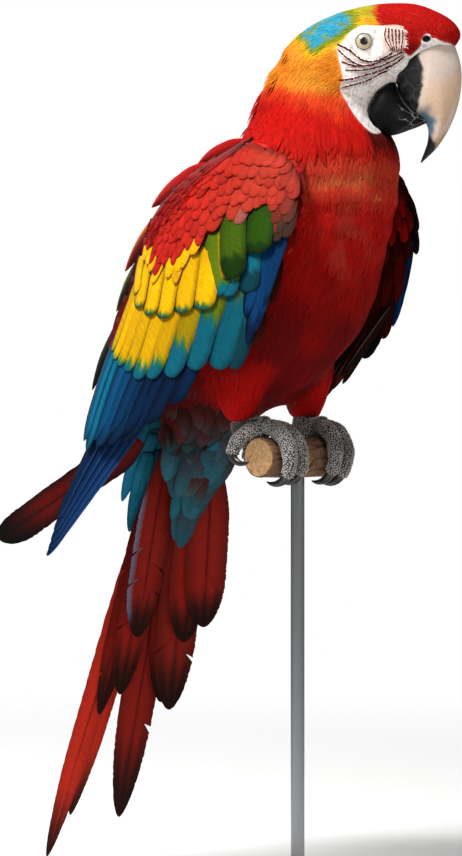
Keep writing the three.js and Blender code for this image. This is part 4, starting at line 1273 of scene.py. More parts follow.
def under_wing(rng, side):
    """The side towards the body: dark maroon coverts, and the dull undersides of the long quills."""
    rows = [(min(v + 0.05 + 0.037 * (row % 2), 1.0), t - 0.12, v + 0.037 * (row % 2), t, 9.5)
            for row, t in enumerate(np.arange(0.16, 0.80, 0.062)) for v in np.arange(0.0, 1.0, 0.075)]
    s = lay_on_wing(rng, side, SCALE, rows, (-1.0, 1.5), roll_deg=4.0, face=-1)
    t = np.array(rows)[:, 3]
    brown = np.clip(smooth(0.2, 0.75, t) + 0.4 * rng.normal(size=len(t)), 0, 0.9)
    base = mix(mix(SCARLET, MAROON, 0.45), UMBER, brown) * 1.5
    sets = [paint(rng, s, base, edge=UMBER, edge_share=0.5, quill=0.6, amount=0.12)]
    if side == LEFT:  # the innermost quills of the far wing hang past its hem
        k = np.linspace(0, 1, 11)[:, None]
        root = np.array([48.0, 74.0, 130.0]) + k * np.array([-46.0, -4.0, -38.0])
        tip = np.array([2.0, 66.0, 68.0]) + k * np.array([-44.0, -4.0, -34.0]) + rng.normal(0, 1.2, (len(k), 3))
        s = grow_between(rng, dict(QUILL, taper=0.4, round_from=0.8), root, tip, each((0.35, -1.0, 0.1), root),
                         1, 4.8)
        sets.append(paint(rng, s, mix(UMBER, "#6A2A20", rng.random(len(k))), edge=SOOT, edge_share=0.7,
                          edge_from=0.5, shaft=PALE, shaft_share=0.4, amount=0.15, under=SOOT))
    return sets


SCAPULARS = [  # root, tip, half width, colour, colour of the margin
    ((-20, 42, 269), (-74, 43, 257), 8, BLOOD, SCARLET), ((-56, 51, 249), (-120, 54, 221), 11, BLOOD, SCARLET),
    ((-92, 51, 220), (-153, 55, 165), 13, DEEP_RED, ORANGE), ((-112, 53, 186), (-162, 57, 129), 12, UMBER, LIME),
    ((-140, 55, 130), (-190, 60, 59), 12, SOOT, LEAF)]


def scapulars(rng, side):
    """The long loose shoulder feathers, the narrow ones beside them, and the cloak between back and wing."""
    root, tip, half, base, rim = (np.array(column) for column in zip(*SCAPULARS))
    root, tip = root * [1.0, side, 1], tip * [1.0, side, 1]
    kind = dict(COVERT, taper=0.35, round_from=0.6, round_power=1.6, rings=26)
    s = grow_between(rng, kind, root, tip, each((-0.25, side * 0.9, 0.25), root), 4, half * 1.05, -0.05 * side)
    paint(rng, s, base, rim, 0.92, 0.1, shaft=SOOT, shaft_share=0.4, under=UMBER)
    # the margin's colour over the outer side, and painted shade over the inner side
    outer = s["side"] * side
    s["colour"] = layered(s["colour"], (rim[:, None, None], 0.85 * smooth(0.45, 0.95, outer)),
                          (SOOT, 0.8 * smooth(0.0, -0.6, outer)))
    sets = [s]
    rows = [(v - 0.03, t, v + 0.02, t + 0.13, 5.0)
            for v, start, stop in ((0.96, 0.0, 0.36), (0.90, 0.0, 0.36), (0.84, 0.02, 0.28), (0.78, 0.03, 0.2))
            for t in np.arange(start, stop, 0.052)]
    s = lay_on_wing(rng, side, dict(COVERT, round_from=0.5, round_power=1.6), rows, (0.0, 3.6), roll_deg=-9.0)
    # dark margins, quill ends and lee sides of painted shade, for the shadowed gaps between them
    sets.append(paint(rng, s, mix(SCARLET, DEEP_RED, 0.6), edge=MAROON, edge_share=0.85, edge_from=0.5, quill=0.2,
                      amount=0.12, under=UMBER, lee=side, lee_share=0.9, shade="#240504"))
    t = np.arange(0.0, 0.72, 0.045)
    for inward, height in ((30, 6), (14, 4)):
        root = wing_surface(side, 0.93, t, -2.0) + np.array([16.0, -inward * side, height])
        below = wing_surface(side, 0.94, np.minimum(t + 0.12, 1), -4.0)
        tip = below + np.array([0.0, -inward * side * 0.3, 0.0])
        s = grow_between(rng, COVERT, root, tip, each((-0.75, side * 0.45, 0.35), root), 5, 10.0)
        base = mix(mix(SCARLET, DEEP_RED, 0.4), mix(UMBER, LEAF, 0.4), smooth(0.45, 0.65, t))
        sets.append(paint(rng, s, base, edge=MAROON, edge_share=0.25, quill=0.6, amount=0.1))
    return sets


# ------------------------------------------------------------------ tail
TAIL_FEATHERS = {  # across mm, fan degrees, length, half width, taper, layer
    "tail_r1": (5, 0.5, 433, 15, 0.5, 1), "tail_l1": (8, -0.7, 389, 16, 0.5, 0),
    "tail_r2": (0, -2, 284, 16, 0.5, 2), "tail_l2": (10, -7.2, 385, 20, 0.3, 3),
    "tail_r3": (-3, -5.7, 234, 16, 0.2, 4), "tail_l3": (15, -10.5, 265, 19, 0.2, 5),
    "tail_r4": (-6, -5.8, 259, 17, 0.2, 6), "tail_l4": (20, -11, 270, 21, 0.1, 7),
    "tail_r5": (-9, -7.8, 200, 17, 0.1, 8), "tail_l5": (26, -10.9, 199, 20, 0.1, 9),
    "tail_l6": (32, -14.2, 182, 21, 0.1, 11)}
TAIL_LAYER = 2.2  # mm from one tail feather to the next under it

STRAY = {"root": (-152, -34, 12), "tip": (-303, -64, -80), "half": 17, "face": (-0.5, 0.5, 0.5)}  # tail_r6


def tail_feathers(rng):
    """Twelve long quills: the middle pair scarlet, the rest brick red with brown margins and tips."""
    sets = []
    for name, (across, fan, length, half, taper, layer) in TAIL_FEATHERS.items():
        angle = radians(fan)
        along = TAIL_DOWN * cos(angle) - TAIL_ACROSS * sin(angle)
        origin = TAIL_ROOT + TAIL_ACROSS * across + TAIL_UNDER * (layer - 5.5) * TAIL_LAYER
        root, tip = (origin + along * 14)[None], (origin + along * length)[None]
        kind = dict(QUILL, taper=taper * 0.75, rings=110, swell=0.45, round_from=0.74, round_power=1.8, drop=0.06,
                    thick=1.2, slits=0.014)
        s = grow_between(rng, kind, root, tip, TAIL_UNDER[None], -1.5, half)
        if name in ("tail_r1", "tail_l1"):
            base, tip_from, edge_share = linear("#CC3020"), 0.93, 0.3
        else:
            base, tip_from, edge_share = mix("#8E2218", SCARLET, rng.uniform(0, 0.35)), 0.87, 0.6
        paint(rng, s, base, UMBER, tip_from, 0.12, edge=UMBER, edge_share=edge_share, quill=0.5, shaft=MAROON,
              shaft_share=0.7, amount=0.04)
        if name == "tail_r5":
            rim = smooth(-0.8, -0.95, s["side"])
            rim = rim * smooth(0.2, 0.35, s["axial"]) * smooth(0.95, 0.85, s["axial"])
            s["colour"] = mix(s["colour"], "#6F8CA8", rim * 0.7)
        sets.append(s)
    root, tip, face = (np.array([STRAY[key]], float) for key in ("root", "tip", "face"))
    s = grow_between(rng, dict(QUILL, rings=50, round_from=0.82, drop=0.08), root, tip, unit(face), 3,
                     STRAY["half"])
    paint(rng, s, mix(BRICK, MAROON, 0.4), SOOT, 0.85, 0.2, edge=SOOT, edge_share=0.95, shaft=SOOT,
          shaft_share=0.8)
    return sets + [s]


def tail_coverts(rng, under):
    """The teal coverts under or over the tail's root."""
    if under:
        out, across0, drift, length, half = TAIL_UNDER, 21, 10, 112, 31
        numbers, lowest, reach_share, high = (5, 6, 5, 5, 4, 3, 2, 1), 0.57, 0.44, 10
    else:
        out, across0, drift, length, half = -TAIL_UNDER, -1, -3, 118, 27
        numbers, lowest, reach_share, high = (6, 7, 6, 4), 0.28, 0.72, 6
    start = TAIL_ROOT + out * (6 * TAIL_LAYER + 1.4) + TAIL_ACROSS * across0 - TAIL_DOWN * 6
    root, tip, wide = [], [], []
    for number, s0 in zip(numbers, np.linspace(-0.14, lowest, len(numbers))):
        down = max(s0, 0)
        for k in (np.linspace(-1, 1, number) if number > 1 else [0.0]):
            width = half * (1 - 0.95 * down / 0.57)
            across = (k + 0.16 * rng.normal()) * width * 0.82 + drift * down
            along_by = (s0 + rng.uniform(-0.05, 0.05)) * length
            lift = high * (1 - 0.85 * down) * np.sqrt(max(0, 1 - k * k * 0.8))
            p = start + TAIL_DOWN * along_by + TAIL_ACROSS * across + out * (lift - 3)
            reach = reach_share * length * rng.uniform(0.88, 1.0)
            root.append(p)
            tip.append(p + TAIL_DOWN * reach + TAIL_ACROSS * (-0.3 * k * width) + out * (2.0 - 0.35 * lift))
            wide.append(rng.uniform(8.5, 11.0) * (1.35 - 0.8 * down if under else 0.8))
    root, tip = np.array(root), np.array(tip)
    normal = unit(np.tile(out, (len(root), 1)) + 0.12 * rng.normal(size=root.shape))
    s = grow_between(rng, dict(COVERT, round_from=0.42, round_power=1.8), root, tip, normal, 2.2, np.array(wide),
                     0.08 * rng.normal(size=len(root)))
    brown = np.clip(0.45 + 0.4 * rng.normal(size=len(root)), 0, 1)
    base = mix("#245E6E", "#4E1D18", brown) if under else TURQUOISE
    end = mix("#206478", "#43504E", brown * 0.7) if under else linear("#2888AC")
    return paint(rng, s, base, end, 0.55, 0.3, edge=PINE, edge_share=0.4, edge_from=0.6, shaft=PINE,
                 shaft_share=0.3, quill=0.45, amount=0.1)


def vent_feathers(rng, skin_tree):
    """The loose feathers between belly and tail: brown red at the quill and grey teal at the tip, darkened
    with painted shade, most towards the bottom.
    """
    starts = []
    for row, up in enumerate(np.arange(-4, 62, 11.0)):
        for across in np.arange(-26, 60, 12.0) + 6 * (row % 2):
            starts.append(TAIL_ROOT + TAIL_ACROSS * (across + rng.normal(0, 1.5))
                          - TAIL_DOWN * (up + rng.normal(0, 1.5)) + TAIL_UNDER * 90)
    root, normal = cast(skin_tree, starts, -TAIL_UNDER)
    here = (root[:, 2] < 75) & (normal @ TAIL_UNDER > 0.15)
    root, normal = root[here], normal[here]
    count = len(root)
    length = rng.uniform(27, 36, count)
    lie = np.tile(TAIL_DOWN, (count, 1)) + 0.12 * rng.normal(size=root.shape)
    along, out, chord, bend = settle(skin_tree, root, lie, normal, length, np.full(count, 2.2),
                                     rng.uniform(2.5, 5, count))
    s = grow_vanes(rng, dict(COVERT, rings=16, round_from=0.45, round_power=1.9), root, along, out, chord,
                   rng.uniform(6.5, 9, count), bend, 0.08 * rng.normal(size=count))
    # darker towards the bottom: painted shade
    low = smooth(62, 20, root[:, 2] + 6 * rng.normal(size=count))
    base = mix(mix(DEEP_RED, MAROON, 0.5), "#2C1410", low)
    end = mix(mix(DEEP_RED, MAROON, 0.4), "#1C3C42", low)
    return paint(rng, s, base, end, 0.6, 0.3, edge=SOOT, edge_share=0.35, edge_from=0.6, quill=0.5, amount=0.12)


COLLAR_X = 34  # where the neck's middle is, at the collar


def collar(rng, skin_tree):
    """The longer, looser feathers in which the neck's coat ends over the breast."""
    sets = []
    for height, stand in ((278, 0.9), (271, 1.1), (264, 1.5)):
        turn = np.radians(np.arange(-105, 125, 3.4))
        turn = turn + rng.normal(0, 0.025, len(turn))
        hits = [cast(skin_tree, [(COLLAR_X + 150 * cos(a), 150 * sin(a), height + rng.normal(0, 3.0))],
                     (-cos(a), -sin(a), 0)) for a in turn]
        root, normal = (np.concatenate([hit[k] for hit in hits]) for k in (0, 1))
        here = np.hypot(root[:, 0] - COLLAR_X, root[:, 1]) < 62
        here &= inside_outline(face_map(root), FACE_LOOP) < -1.5
        root, normal, turn = root[here], normal[here], turn[here]
        count = len(root)
        tuft = bell(turn - 0.75, 0.2) * (stand > 1.2)
        length = rng.uniform(19, 28, count) + 6 * tuft
        lift = stand * rng.uniform(0.6, 1.3, count) + 4.5 * tuft
        lie = np.tile([0, 0, -1.0], (count, 1)) + 0.1 * rng.normal(size=root.shape)
        along, out, chord, bend = settle(skin_tree, root, lie, normal, length, lift * 0.9, lift)
        kind = dict(COVERT, rings=14, columns=5, round_from=0.35, round_power=1.5, thick=0.6, fray=0.12, ridge=0.0)
        s = grow_vanes(rng, kind, root, along, out, chord, rng.uniform(2.4, 3.8, count), bend,
                       0.08 * rng.normal(size=count))
        base = coat_colour(root - [0, 0, 8.0])
        paint(rng, s, base, mix(base, "#BE2C1A", 0.5), 0.7, 0.3, edge=MAROON, edge_share=0.2, quill=0.8,
              amount=0.08)
        sets.append(small_patches(s, body_unwrap(root)))
    join_vanes("plumage_collar", sets, PLUMAGE, ["neck"])


# ------------------------------------------------------------------ bill, eyes and face
# Each bill half from its root to its tip: a place on its upper line, one on its lower line, and half its width.
UPPER_BILL = [((76, 18), (25, -10), 20.6), ((80.5, 12), (29, -16), 22), ((87, -9), (36, -33), 21),
              ((86.5, -32), (46, -47), 17.5), ((80, -55), (57.5, -58), 12), ((68, -76), (58.5, -72), 6.5),
              ((53, -91), (52.5, -89.5), 1)]
LOWER_BILL = [((30, -21), (22, -23), 9), ((35, -30), (8, -39), 18), ((40, -39), (6, -58), 20),
              ((46, -46), (24, -67), 17), ((53, -51), (44, -62), 12), ((58, -54), (57, -57), 5)]


def circle(around):
    """Angles of the places round a ring."""
    return np.linspace(0, 2 * pi, around, endpoint=False)


def loft_bill(stations, rings, ridge=0.0):
    """A bill half from its side outline and widths; ridge sharpens its upper line."""
    around = 72
    share = np.linspace(0, 1, rings)
    top, low, wide = (along_curve([np.atleast_1d(s[k]) for s in stations], share) for k in (0, 1, 2))
    lateral, upward = np.cos(circle(around)), np.sin(circle(around))
    lateral = lateral * (1 - ridge * smooth(0.2, 1.0, upward))
    line = (top + low)[:, None] / 2 + (top - low)[:, None] / 2 * upward[:, None]
    points = head_place(line[..., 0].ravel(), (wide * lateral).ravel(), line[..., 1].ravel())
    return points, ring_faces(rings, around), np.repeat(share, around), np.tile(upward, rings)


def make_bill():
    """The pale upper horn with its dark tip, and a slate band along its cutting edge, partly the horn's own grey
    and partly painted shade on its downward side; and the black lower one.
    """
    points, faces, share, upward = loft_bill(UPPER_BILL, 100, 0.18)
    share = np.clip((share * 6 - 1) / 5, 0, 1)  # 0 where the horn leaves the skin
    flat = face_map(points) + np.stack([mottle(points, 7, 21), mottle(points, 7, 22)], -1) * 0.7
    edge = np.interp(flat[:, 1], [-45, -42, -20, -1, 5], [47, 49.5, 52.5, 49.2, 47])
    patch = smooth(1.0, -0.5, flat[:, 0] - edge)
    # the slate band on the downward side: partly the horn's own grey, partly painted shade
    lower = smooth(0.1, -0.6, upward + 0.2 * mottle(points, 8, 37)) * smooth(0.36, 0.5, share)
    horn = layered(
        mix("#CFBBAE", "#D8B69A", smooth(0.12, 0.4, share + 0.12 * mottle(points, 22, 36))),
        ("#A27C5A", smooth(0.4, 0.75, share) * smooth(0.1, 0.9, upward) * 0.75),
        ("#DCCBC0", smooth(0.3, 0.9, mottle(points * [1, 1, 0.3], 9, 28)) * 0.5),
        (SLATE, lower * 0.95),
        ("#07090A", smooth(0.73, 0.80, share + 0.03 * mottle(points, 9, 23) - 0.03 * upward)),
        (mix(CHARCOAL, "#2A2D30", smooth(0, 1, mottle(points, 6, 24))), patch))
    make_piece("bill_upper_horn", points, faces, HORN, ["bill_upper"], horn, marks=patch)
    points, faces, share, upward = loft_bill(LOWER_BILL, 90)
    x, z = face_map(points).T
    rim = smooth(2.2, 1.0, np.abs(x - np.interp(z, [-66, -56, -42, -31, -24], [8, 4.5, 6.5, 13, 22])))
    dark = layered(
        mix("#060708", "#16181A", smooth(0.2, 0.9, mottle(points, 14, 26)) * 0.6), (PALE, rim * 0.3),
        (PALE, smooth(0.88, 0.94, upward) * smooth(0.995, 0.96, upward) * 0.22))
    make_piece("bill_lower_horn", points, faces, DARK_HORN, ["bill_lower"], dark,
               marks=smooth(30, 38, x))


def make_eye(side, name):
    """An eyeball with a slightly domed cornea, painted with pupil, pale iris, its grey outer ring, the painted
    shadow of the upper lid over the iris, and a dark rim of painted shade past the opening, under the lids.
    """
    rings, around = 90, 96
    polar = np.concatenate([np.linspace(0.01, 0.85, 66), np.linspace(0.88, pi - 0.02, rings - 66)])
    angle = circle(around)
    axis = eye_axis(side)
    u = unit(np.cross(axis, UP))
    w = np.cross(u, axis)
    across = np.cos(angle)[None, :, None] * u + np.sin(angle)[None, :, None] * w
    out = np.cos(polar)[:, None, None] * axis + np.sin(polar)[:, None, None] * across
    gap = EYE["radius"] * np.sin(polar)
    radius = EYE["radius"] + 0.35 * bell(gap, 4.5) * (polar < 1.5)
    points = (eye_centre(side) + out * radius[:, None, None]).reshape(-1, 3)
    gap, angle = np.repeat(gap, around), np.tile(angle, rings)
    spokes = 0.5 + 0.5 * np.sin(angle * 37 + 3 * np.sin(angle * 5))
    colour = layered(
        mix("#D8C29C", "#B49A70", spokes * 0.5),
        # greyer over the upper iris: a little its own grey, mostly the painted shadow of the upper lid
        ("#A09F9E", 0.1 + 0.7 * smooth(-0.3, 0.8, np.sin(angle)) * smooth(3.2, 5.0, gap)),
        ("#5C5E62", smooth(6.2, 6.6, gap)),
        ("#6E6248", smooth(3.9, 3.3, gap) * 0.6),
        (BLACK, smooth(3.45, 3.0, gap)),
        # dark past the opening: painted shade under the lids
        ("#3A3633", smooth(7.0, 7.6, gap)))
    make_piece(name + "_ball", points, ring_faces(rings, around), EYEBALL, [name], colour)


FACE_ROW_GAP = 1.15  # mm between the tiny feathers of a row


def face_lines(skin_tree):
    """The rows of tiny dark feathers on the bare face, on both sides of the head."""
    rng = np.random.default_rng(31)
    sets = []
    for side, _ in SIDES:
        axis = eye_axis(side)
        for number, line in enumerate(face_rows()):
            on_cheek = number < len(CHEEK_ROWS)
            count = int(np.linalg.norm(np.diff(line, axis=0), axis=1).sum() / FACE_ROW_GAP)
            flat = along_curve(line, np.linspace(0.0, 1.0, count))
            ahead = np.gradient(flat, axis=0) * (-1 if on_cheek else 1)
            flat = flat + rng.normal(0, 0.12, flat.shape)
            starts = head_place(flat[:, 0] / FACE_SQUEEZE, 0 * flat[:, 0], flat[:, 1]) + axis * 90
            root, normal = cast(skin_tree, starts, -axis)
            lie = np.multiply.outer(ahead[:, 0] / FACE_SQUEEZE, HEAD_FRONT) + np.multiply.outer(ahead[:, 1], UP)
            length = (2.6 if on_cheek else 1.9) * rng.uniform(0.7, 1.2, count)
            half = (0.74 if on_cheek else 0.6) * rng.uniform(0.6, 1.3, count)
            out = unit(normal)
            rise = unit(square_to(lie, normal) + 0.12 * out)
            s = grow_vanes(rng, dict(SCALE, rings=5, columns=3, thick=0.35), root + out * 0.12, rise, out, length,
                           half, 0.25)
            dark = mix("#7C1E16", "#400D0A", rng.random(count))
            s["colour"] = np.broadcast_to(dark[:, None, None], s["points"].shape)
            sets.append(small_patches(s, body_unwrap(root)))
    join_vanes("face_feather_rows", sets, PLUMAGE, ["head"])


# ------------------------------------------------------------------ feet
FOOT_Y, FOOT_SHIFT = 37.0, 4.0
TOE_REACH, TOE_TOP = 26.3, 98.0
TOES = {  # angle where the toe ends on the perch, sideways start and end, claw's arc and how far it stands out
    "front_inner": (-34, -6, -17, 62, 2.5), "front_outer": (-40, 3, -2, 64, 3),
    "rear_inner": (186, -5, -4, 52, 1.5), "rear_outer": (176, 5, 17, 44, -12)}


def foot_y(side, y):
    return side * (FOOT_Y + y) + FOOT_SHIFT


def over_perch(deg, reach, y):
    """A place at an angle round the perch's axis and a distance from it."""
    turn = np.radians(deg)
    return np.stack([reach * np.cos(turn), y + 0 * turn, PERCH_Z + reach * np.sin(turn)], -1)


def tube(path, radii, around=20, flat=1.0, ripple=0.0):
    """A closed tube along a path, with its rings held square to it; flat squashes it against its plane."""
    ahead = unit(np.gradient(path, axis=0))
    side = square_to(np.tile([0, 1.0, 0], (len(path), 1)), ahead)
    up = np.cross(ahead, side)
    size = (radii[:, None] * (1 + ripple))[..., None]
    lateral, upward = (np.broadcast_to(wave(circle(around))[:, None], (around, 1)) for wave in (np.cos, np.sin))
    points = path[:, None] + side[:, None] * (size * lateral) * flat + up[:, None] * (size * upward)
    return points.reshape(-1, 3), ring_faces(len(path), around)


def rounded(share, ends=0.06):
    """Closes a tube's ends with round caps."""
    near = np.minimum(share, 1 - share) / ends
    return np.sqrt(np.clip(1 - (1 - np.minimum(near, 1)) ** 2, 0.004, 1))


def toe_path(side, toe, samples):
    end_deg, y0, y1, _, _ = TOES[toe]
    s = np.linspace(0, 1, samples)
    y = y0 * 0.6 + (y1 - y0 * 0.6) * s + y0 * np.sin(pi * s) / 3
    return s, over_perch(TOE_TOP + (end_deg - TOE_TOP) * s, TOE_REACH, foot_y(side, y))


def claw_path(side, toe, samples):
    end_deg, _, y1, arc, over = TOES[toe]
    turn = np.sign(end_deg - TOE_TOP)
    s = np.linspace(0, 1, samples)
    out = TOE_REACH + (18 + over - TOE_REACH) * s**1.6
    return s, over_perch(end_deg + turn * (arc * s - 6), out, foot_y(side, np.full(samples, float(y1))))


def foot_solid(side):
    """Toes with their pads and ridges, and the shank up into the thigh's feathers."""
    parts = []
    for toe in TOES:
        s, path = toe_path(side, toe, 64)
        joints = np.cos(2 * pi * (s * 3.0 + 0.1))
        ridges = np.abs(np.sin(pi * s * 17)) ** 0.6
        outer = np.clip(np.sin(circle(24)) * np.sign(TOE_TOP - TOES[toe][0]), -1, 1)
        ripple = 0.05 * joints[:, None] - 0.03 * smooth(0.2, 0.9, outer)[None] * (1 - ridges[:, None])
        radii = np.interp(s, [0, 0.5, 0.75, 1], [6.8, 6.8, 6.3, 5.3]) * rounded(s, 0.07)
        parts.append(tube(path, radii, 24, 0.97, ripple))
    knee, ankle = np.array([-24, side * 42 + 2, 46.0]), np.array([-29, foot_y(side, 2), 22.0])
    foot = over_perch(84.0, 27.3, foot_y(side, 0.0))
    s = np.linspace(0, 1, 40)
    path = along_curve([knee + (knee - ankle) * 0.3, knee, ankle, (ankle + foot) / 2, foot], s)
    parts.append(tube(path, np.interp(s, [0, 0.25, 0.6, 1], [7, 7.4, 8.4, 9.5]) * rounded(s, 0.08), 28))
    starts = np.cumsum([0] + [len(points) for points, _ in parts])
    quads, caps = ([groups[k] + start for (_, groups), start in zip(parts, starts)] for k in (0, 1))
    return np.concatenate([points for points, _ in parts]), [np.concatenate(quads)] + caps


def foot_colour(p, grain):
    """Pale grey grains on dark skin."""
    tone = np.clip(0.45 + 0.4 * mottle(p, 14, 41), 0, 1)
    return mix("#3A3736", mix("#B4AFAB", "#787471", tone), grain)


GRAIN_GAP, GRAIN_RADIUS = 1.6, 0.92  # mm


def scute_tree(material):
    """Small horny grains set closely over a foot: points spread over its surface, a low grain on each."""
    tree = bpy.data.node_groups.new("granular_scutes", "GeometryNodeTree")
    sockets = {}
    for name, way, kind in (("Geometry", "INPUT", "Geometry"), ("Grain Spacing", "INPUT", "Float"),
                            ("Grain Radius", "INPUT", "Float"), ("Geometry", "OUTPUT", "Geometry")):
        sockets[name] = tree.interface.new_socket(name, in_out=way, socket_type="NodeSocket" + kind).identifier
    given = add_node(tree, "NodeGroupInput").outputs
    spread = add_node(tree, "GeometryNodeDistributePointsOnFaces", {
        "Mesh": given["Geometry"], "Distance Min": given["Grain Spacing"], "Density Max": 900000.0, "Seed": 7},
        distribute_method="POISSON")
    ball = add_node(tree, "GeometryNodeMeshUVSphere", {"Segments": 6, "Rings": 4, "Radius": given["Grain Radius"]})
    sizes = add_node(tree, "FunctionNodeRandomValue", {
        "Min": (0.75, 0.75, 0.55), "Max": (1.2, 1.15, 0.85), "Seed": 3}, data_type="FLOAT_VECTOR")
    marked = add_node(tree, "GeometryNodeStoreNamedAttribute", {
        "Geometry": ball.outputs["Mesh"], "Name": "Grain", "Value": 1.0}, data_type="FLOAT", domain="POINT")
    placed = add_node(tree, "GeometryNodeInstanceOnPoints", {
        "Points": spread.outputs["Points"], "Instance": marked.outputs["Geometry"],
        "Rotation": spread.outputs["Rotation"], "Scale": sizes.outputs["Value"]})
    real = add_node(tree, "GeometryNodeRealizeInstances", {"Geometry": placed.outputs["Instances"]})
    both = add_node(tree, "GeometryNodeJoinGeometry", {"Geometry": real.outputs["Geometry"]})
    tree.links.new(given["Geometry"], both.inputs["Geometry"])
    dressed = add_node(tree, "GeometryNodeSetMaterial", {
        "Geometry": both.outputs["Geometry"], "Material": material})
    add_node(tree, "NodeGroupOutput", {"Geometry": dressed.outputs["Geometry"]})
    return tree, sockets["Grain Spacing"], sockets["Grain Radius"]


def make_feet():
    """Each foot's skin with its scutes, and its four claws."""
    tree, gap_socket, radius_socket = scute_tree(SCUTES)
    for side, name in SIDES:
        bare = make_scratch(*foot_solid(side))
        modifier = bare.modifiers.new("Scutes", "NODES")
        modifier.node_group = tree
        modifier[gap_socket] = GRAIN_GAP * MM
        modifier[radius_socket] = GRAIN_RADIUS * MM
        grown = bpy.data.meshes.new_from_object(bare.evaluated_get(bpy.context.evaluated_depsgraph_get()))
        bpy.data.objects.remove(bare)
        points, faces = bird_points(grown), read_faces(grown)
        grain = np.zeros(len(points), np.float32)
        grown.attributes["Grain"].data.foreach_get("value", grain)
        bpy.data.meshes.remove(grown)
        make_piece("foot_%s_scutes" % name, points, faces, SCUTES, ["foot_%s" % name],
                   foot_colour(points, grain))
        for toe in TOES:
            s, path = claw_path(side, toe, 30)
            radii = 4.6 * np.interp(s, [0, 0.25, 0.5, 0.75, 1], [1, 0.86, 0.66, 0.42, 0.1]) * rounded(s, 0.03)
            points, faces = tube(path, radii, 20, 0.8)
            shade = mix("#1A1817", "#35302D", np.repeat(smooth(0.3, 0.0, s), 20))
            claw = "claw_%s_%s" % (name, toe)
            make_piece(claw + "_horn", points, faces, CLAW_HORN, [claw], shade)


def make_scratch(points, faces):
    """A plain object for a modifier to work on; it is taken away again."""
    mesh = bpy.data.meshes.new("scratch")
    mesh.from_pydata(to_floor(points).tolist(), [], [face for group in faces for face in group.tolist()])
    return show("scratch", mesh)


# ------------------------------------------------------------------ perch and stand
PERCH_ENDS = (-44.5, 52.5)


ROD = {"x": 0.0, "y": 6.0, "radius": 6}


BASE = {"x": -18, "y": 6, "radius": 140, "height": 14, "rounding": 3}


def turned(profile, x, y, around):
    """A turned solid's points: rings of the profile's radii and heights round an upright axis."""
    angle = circle(around)
    rings = [np.stack([x + r * np.cos(angle), y + r * np.sin(angle), np.full(around, z)], -1) for r, z in profile]
    return np.concatenate(rings)


def make_perch():
    """A cut branch with bark and sawn ends."""
    rings, around = 120, 96
    shrink = np.linspace(0.995, 0.02, 16)[:, None, None]
    y = np.linspace(*PERCH_ENDS, rings)[:, None]
    round_x, round_z = np.cos(circle(around)), np.sin(circle(around))
    even = np.stack(np.broadcast_arrays(round_x * PERCH_RADIUS, y, round_z * PERCH_RADIUS), -1).reshape(-1, 3)
    crack = np.abs(mottle(even * [1, 0.35, 1], 7, 51))
    bark = -0.5 - 0.35 * crack - 0.25 * mottle(even, 22, 52)
    edge = np.minimum(y - PERCH_ENDS[0], PERCH_ENDS[1] - y)
    radius = PERCH_RADIUS - 1.3 * np.exp(-edge / 0.5) + bark.reshape(rings, around)
    sides = np.stack([round_x * radius, y + 0 * radius, round_z * radius], -1)
    first, last = (sides[row] * np.concatenate([shrink, 0 * shrink + 1, shrink], -1) for row in (0, -1))
    points = (np.concatenate([first[::-1], sides, last]) + [0, 0, PERCH_Z]).reshape(-1, 3)
    inner = len(shrink) * around
    brown = np.clip(smooth(0.35, 0.0, crack) + 0.25 * mottle(points[inner:-inner], 12, 53), 0, 1)
    share = np.repeat(np.concatenate([shrink[::-1, 0, 0], np.ones(rings), shrink[:, 0, 0]]), around)
    colour = mix("#B08C64", "#94704A", 0.5 + 0.5 * np.sin(share * 44 + 3 * mottle(points, 22, 54)))
    colour[inner:-inner] = mix("#7A5B41", "#3B2A1E", brown)
    faces = [group[:, ::-1] for group in ring_faces(rings + 2 * len(shrink), around)]
    make_piece("perch_branch", points, faces, BARK, ["stand_perch"], colour)


def make_stand():
    """A steel rod and a turned walnut base."""
    low, high = FLOOR + 4, PERCH_Z - PERCH_RADIUS + 10
    rod = turned([(ROD["radius"], z) for z in (low, low + 1, high - 1, high)], ROD["x"], ROD["y"], 64)
    make_piece("stand_steel_rod", rod, ring_faces(4, 64), STEEL, ["stand_rod"])
    wide, top, bend = BASE["radius"], FLOOR + BASE["height"], BASE["rounding"]
    profile = [(0.5, FLOOR), (wide - 8, FLOOR), (wide - 1, FLOOR + 1)]
    profile += [(wide - bend * (1 - cos(a)), top - bend + bend * sin(a)) for a in np.linspace(0, pi / 2, 24)]
    profile += [(r, top) for r in np.linspace(wide - 6, 0.5, 12)]
    disc = turned(profile, BASE["x"], BASE["y"], 128)
    wood = mix("#6B4428", "#3E2415", np.clip(0.5 + 0.5 * mottle(disc * [0.12, 1, 1], 9, 61), 0, 1))
    make_piece("stand_walnut_base", disc, ring_faces(len(profile), 128), WALNUT, ["stand_base"],
               wood)


# ------------------------------------------------------------------ stage, light and camera


STAGE_RADIUS = 2600


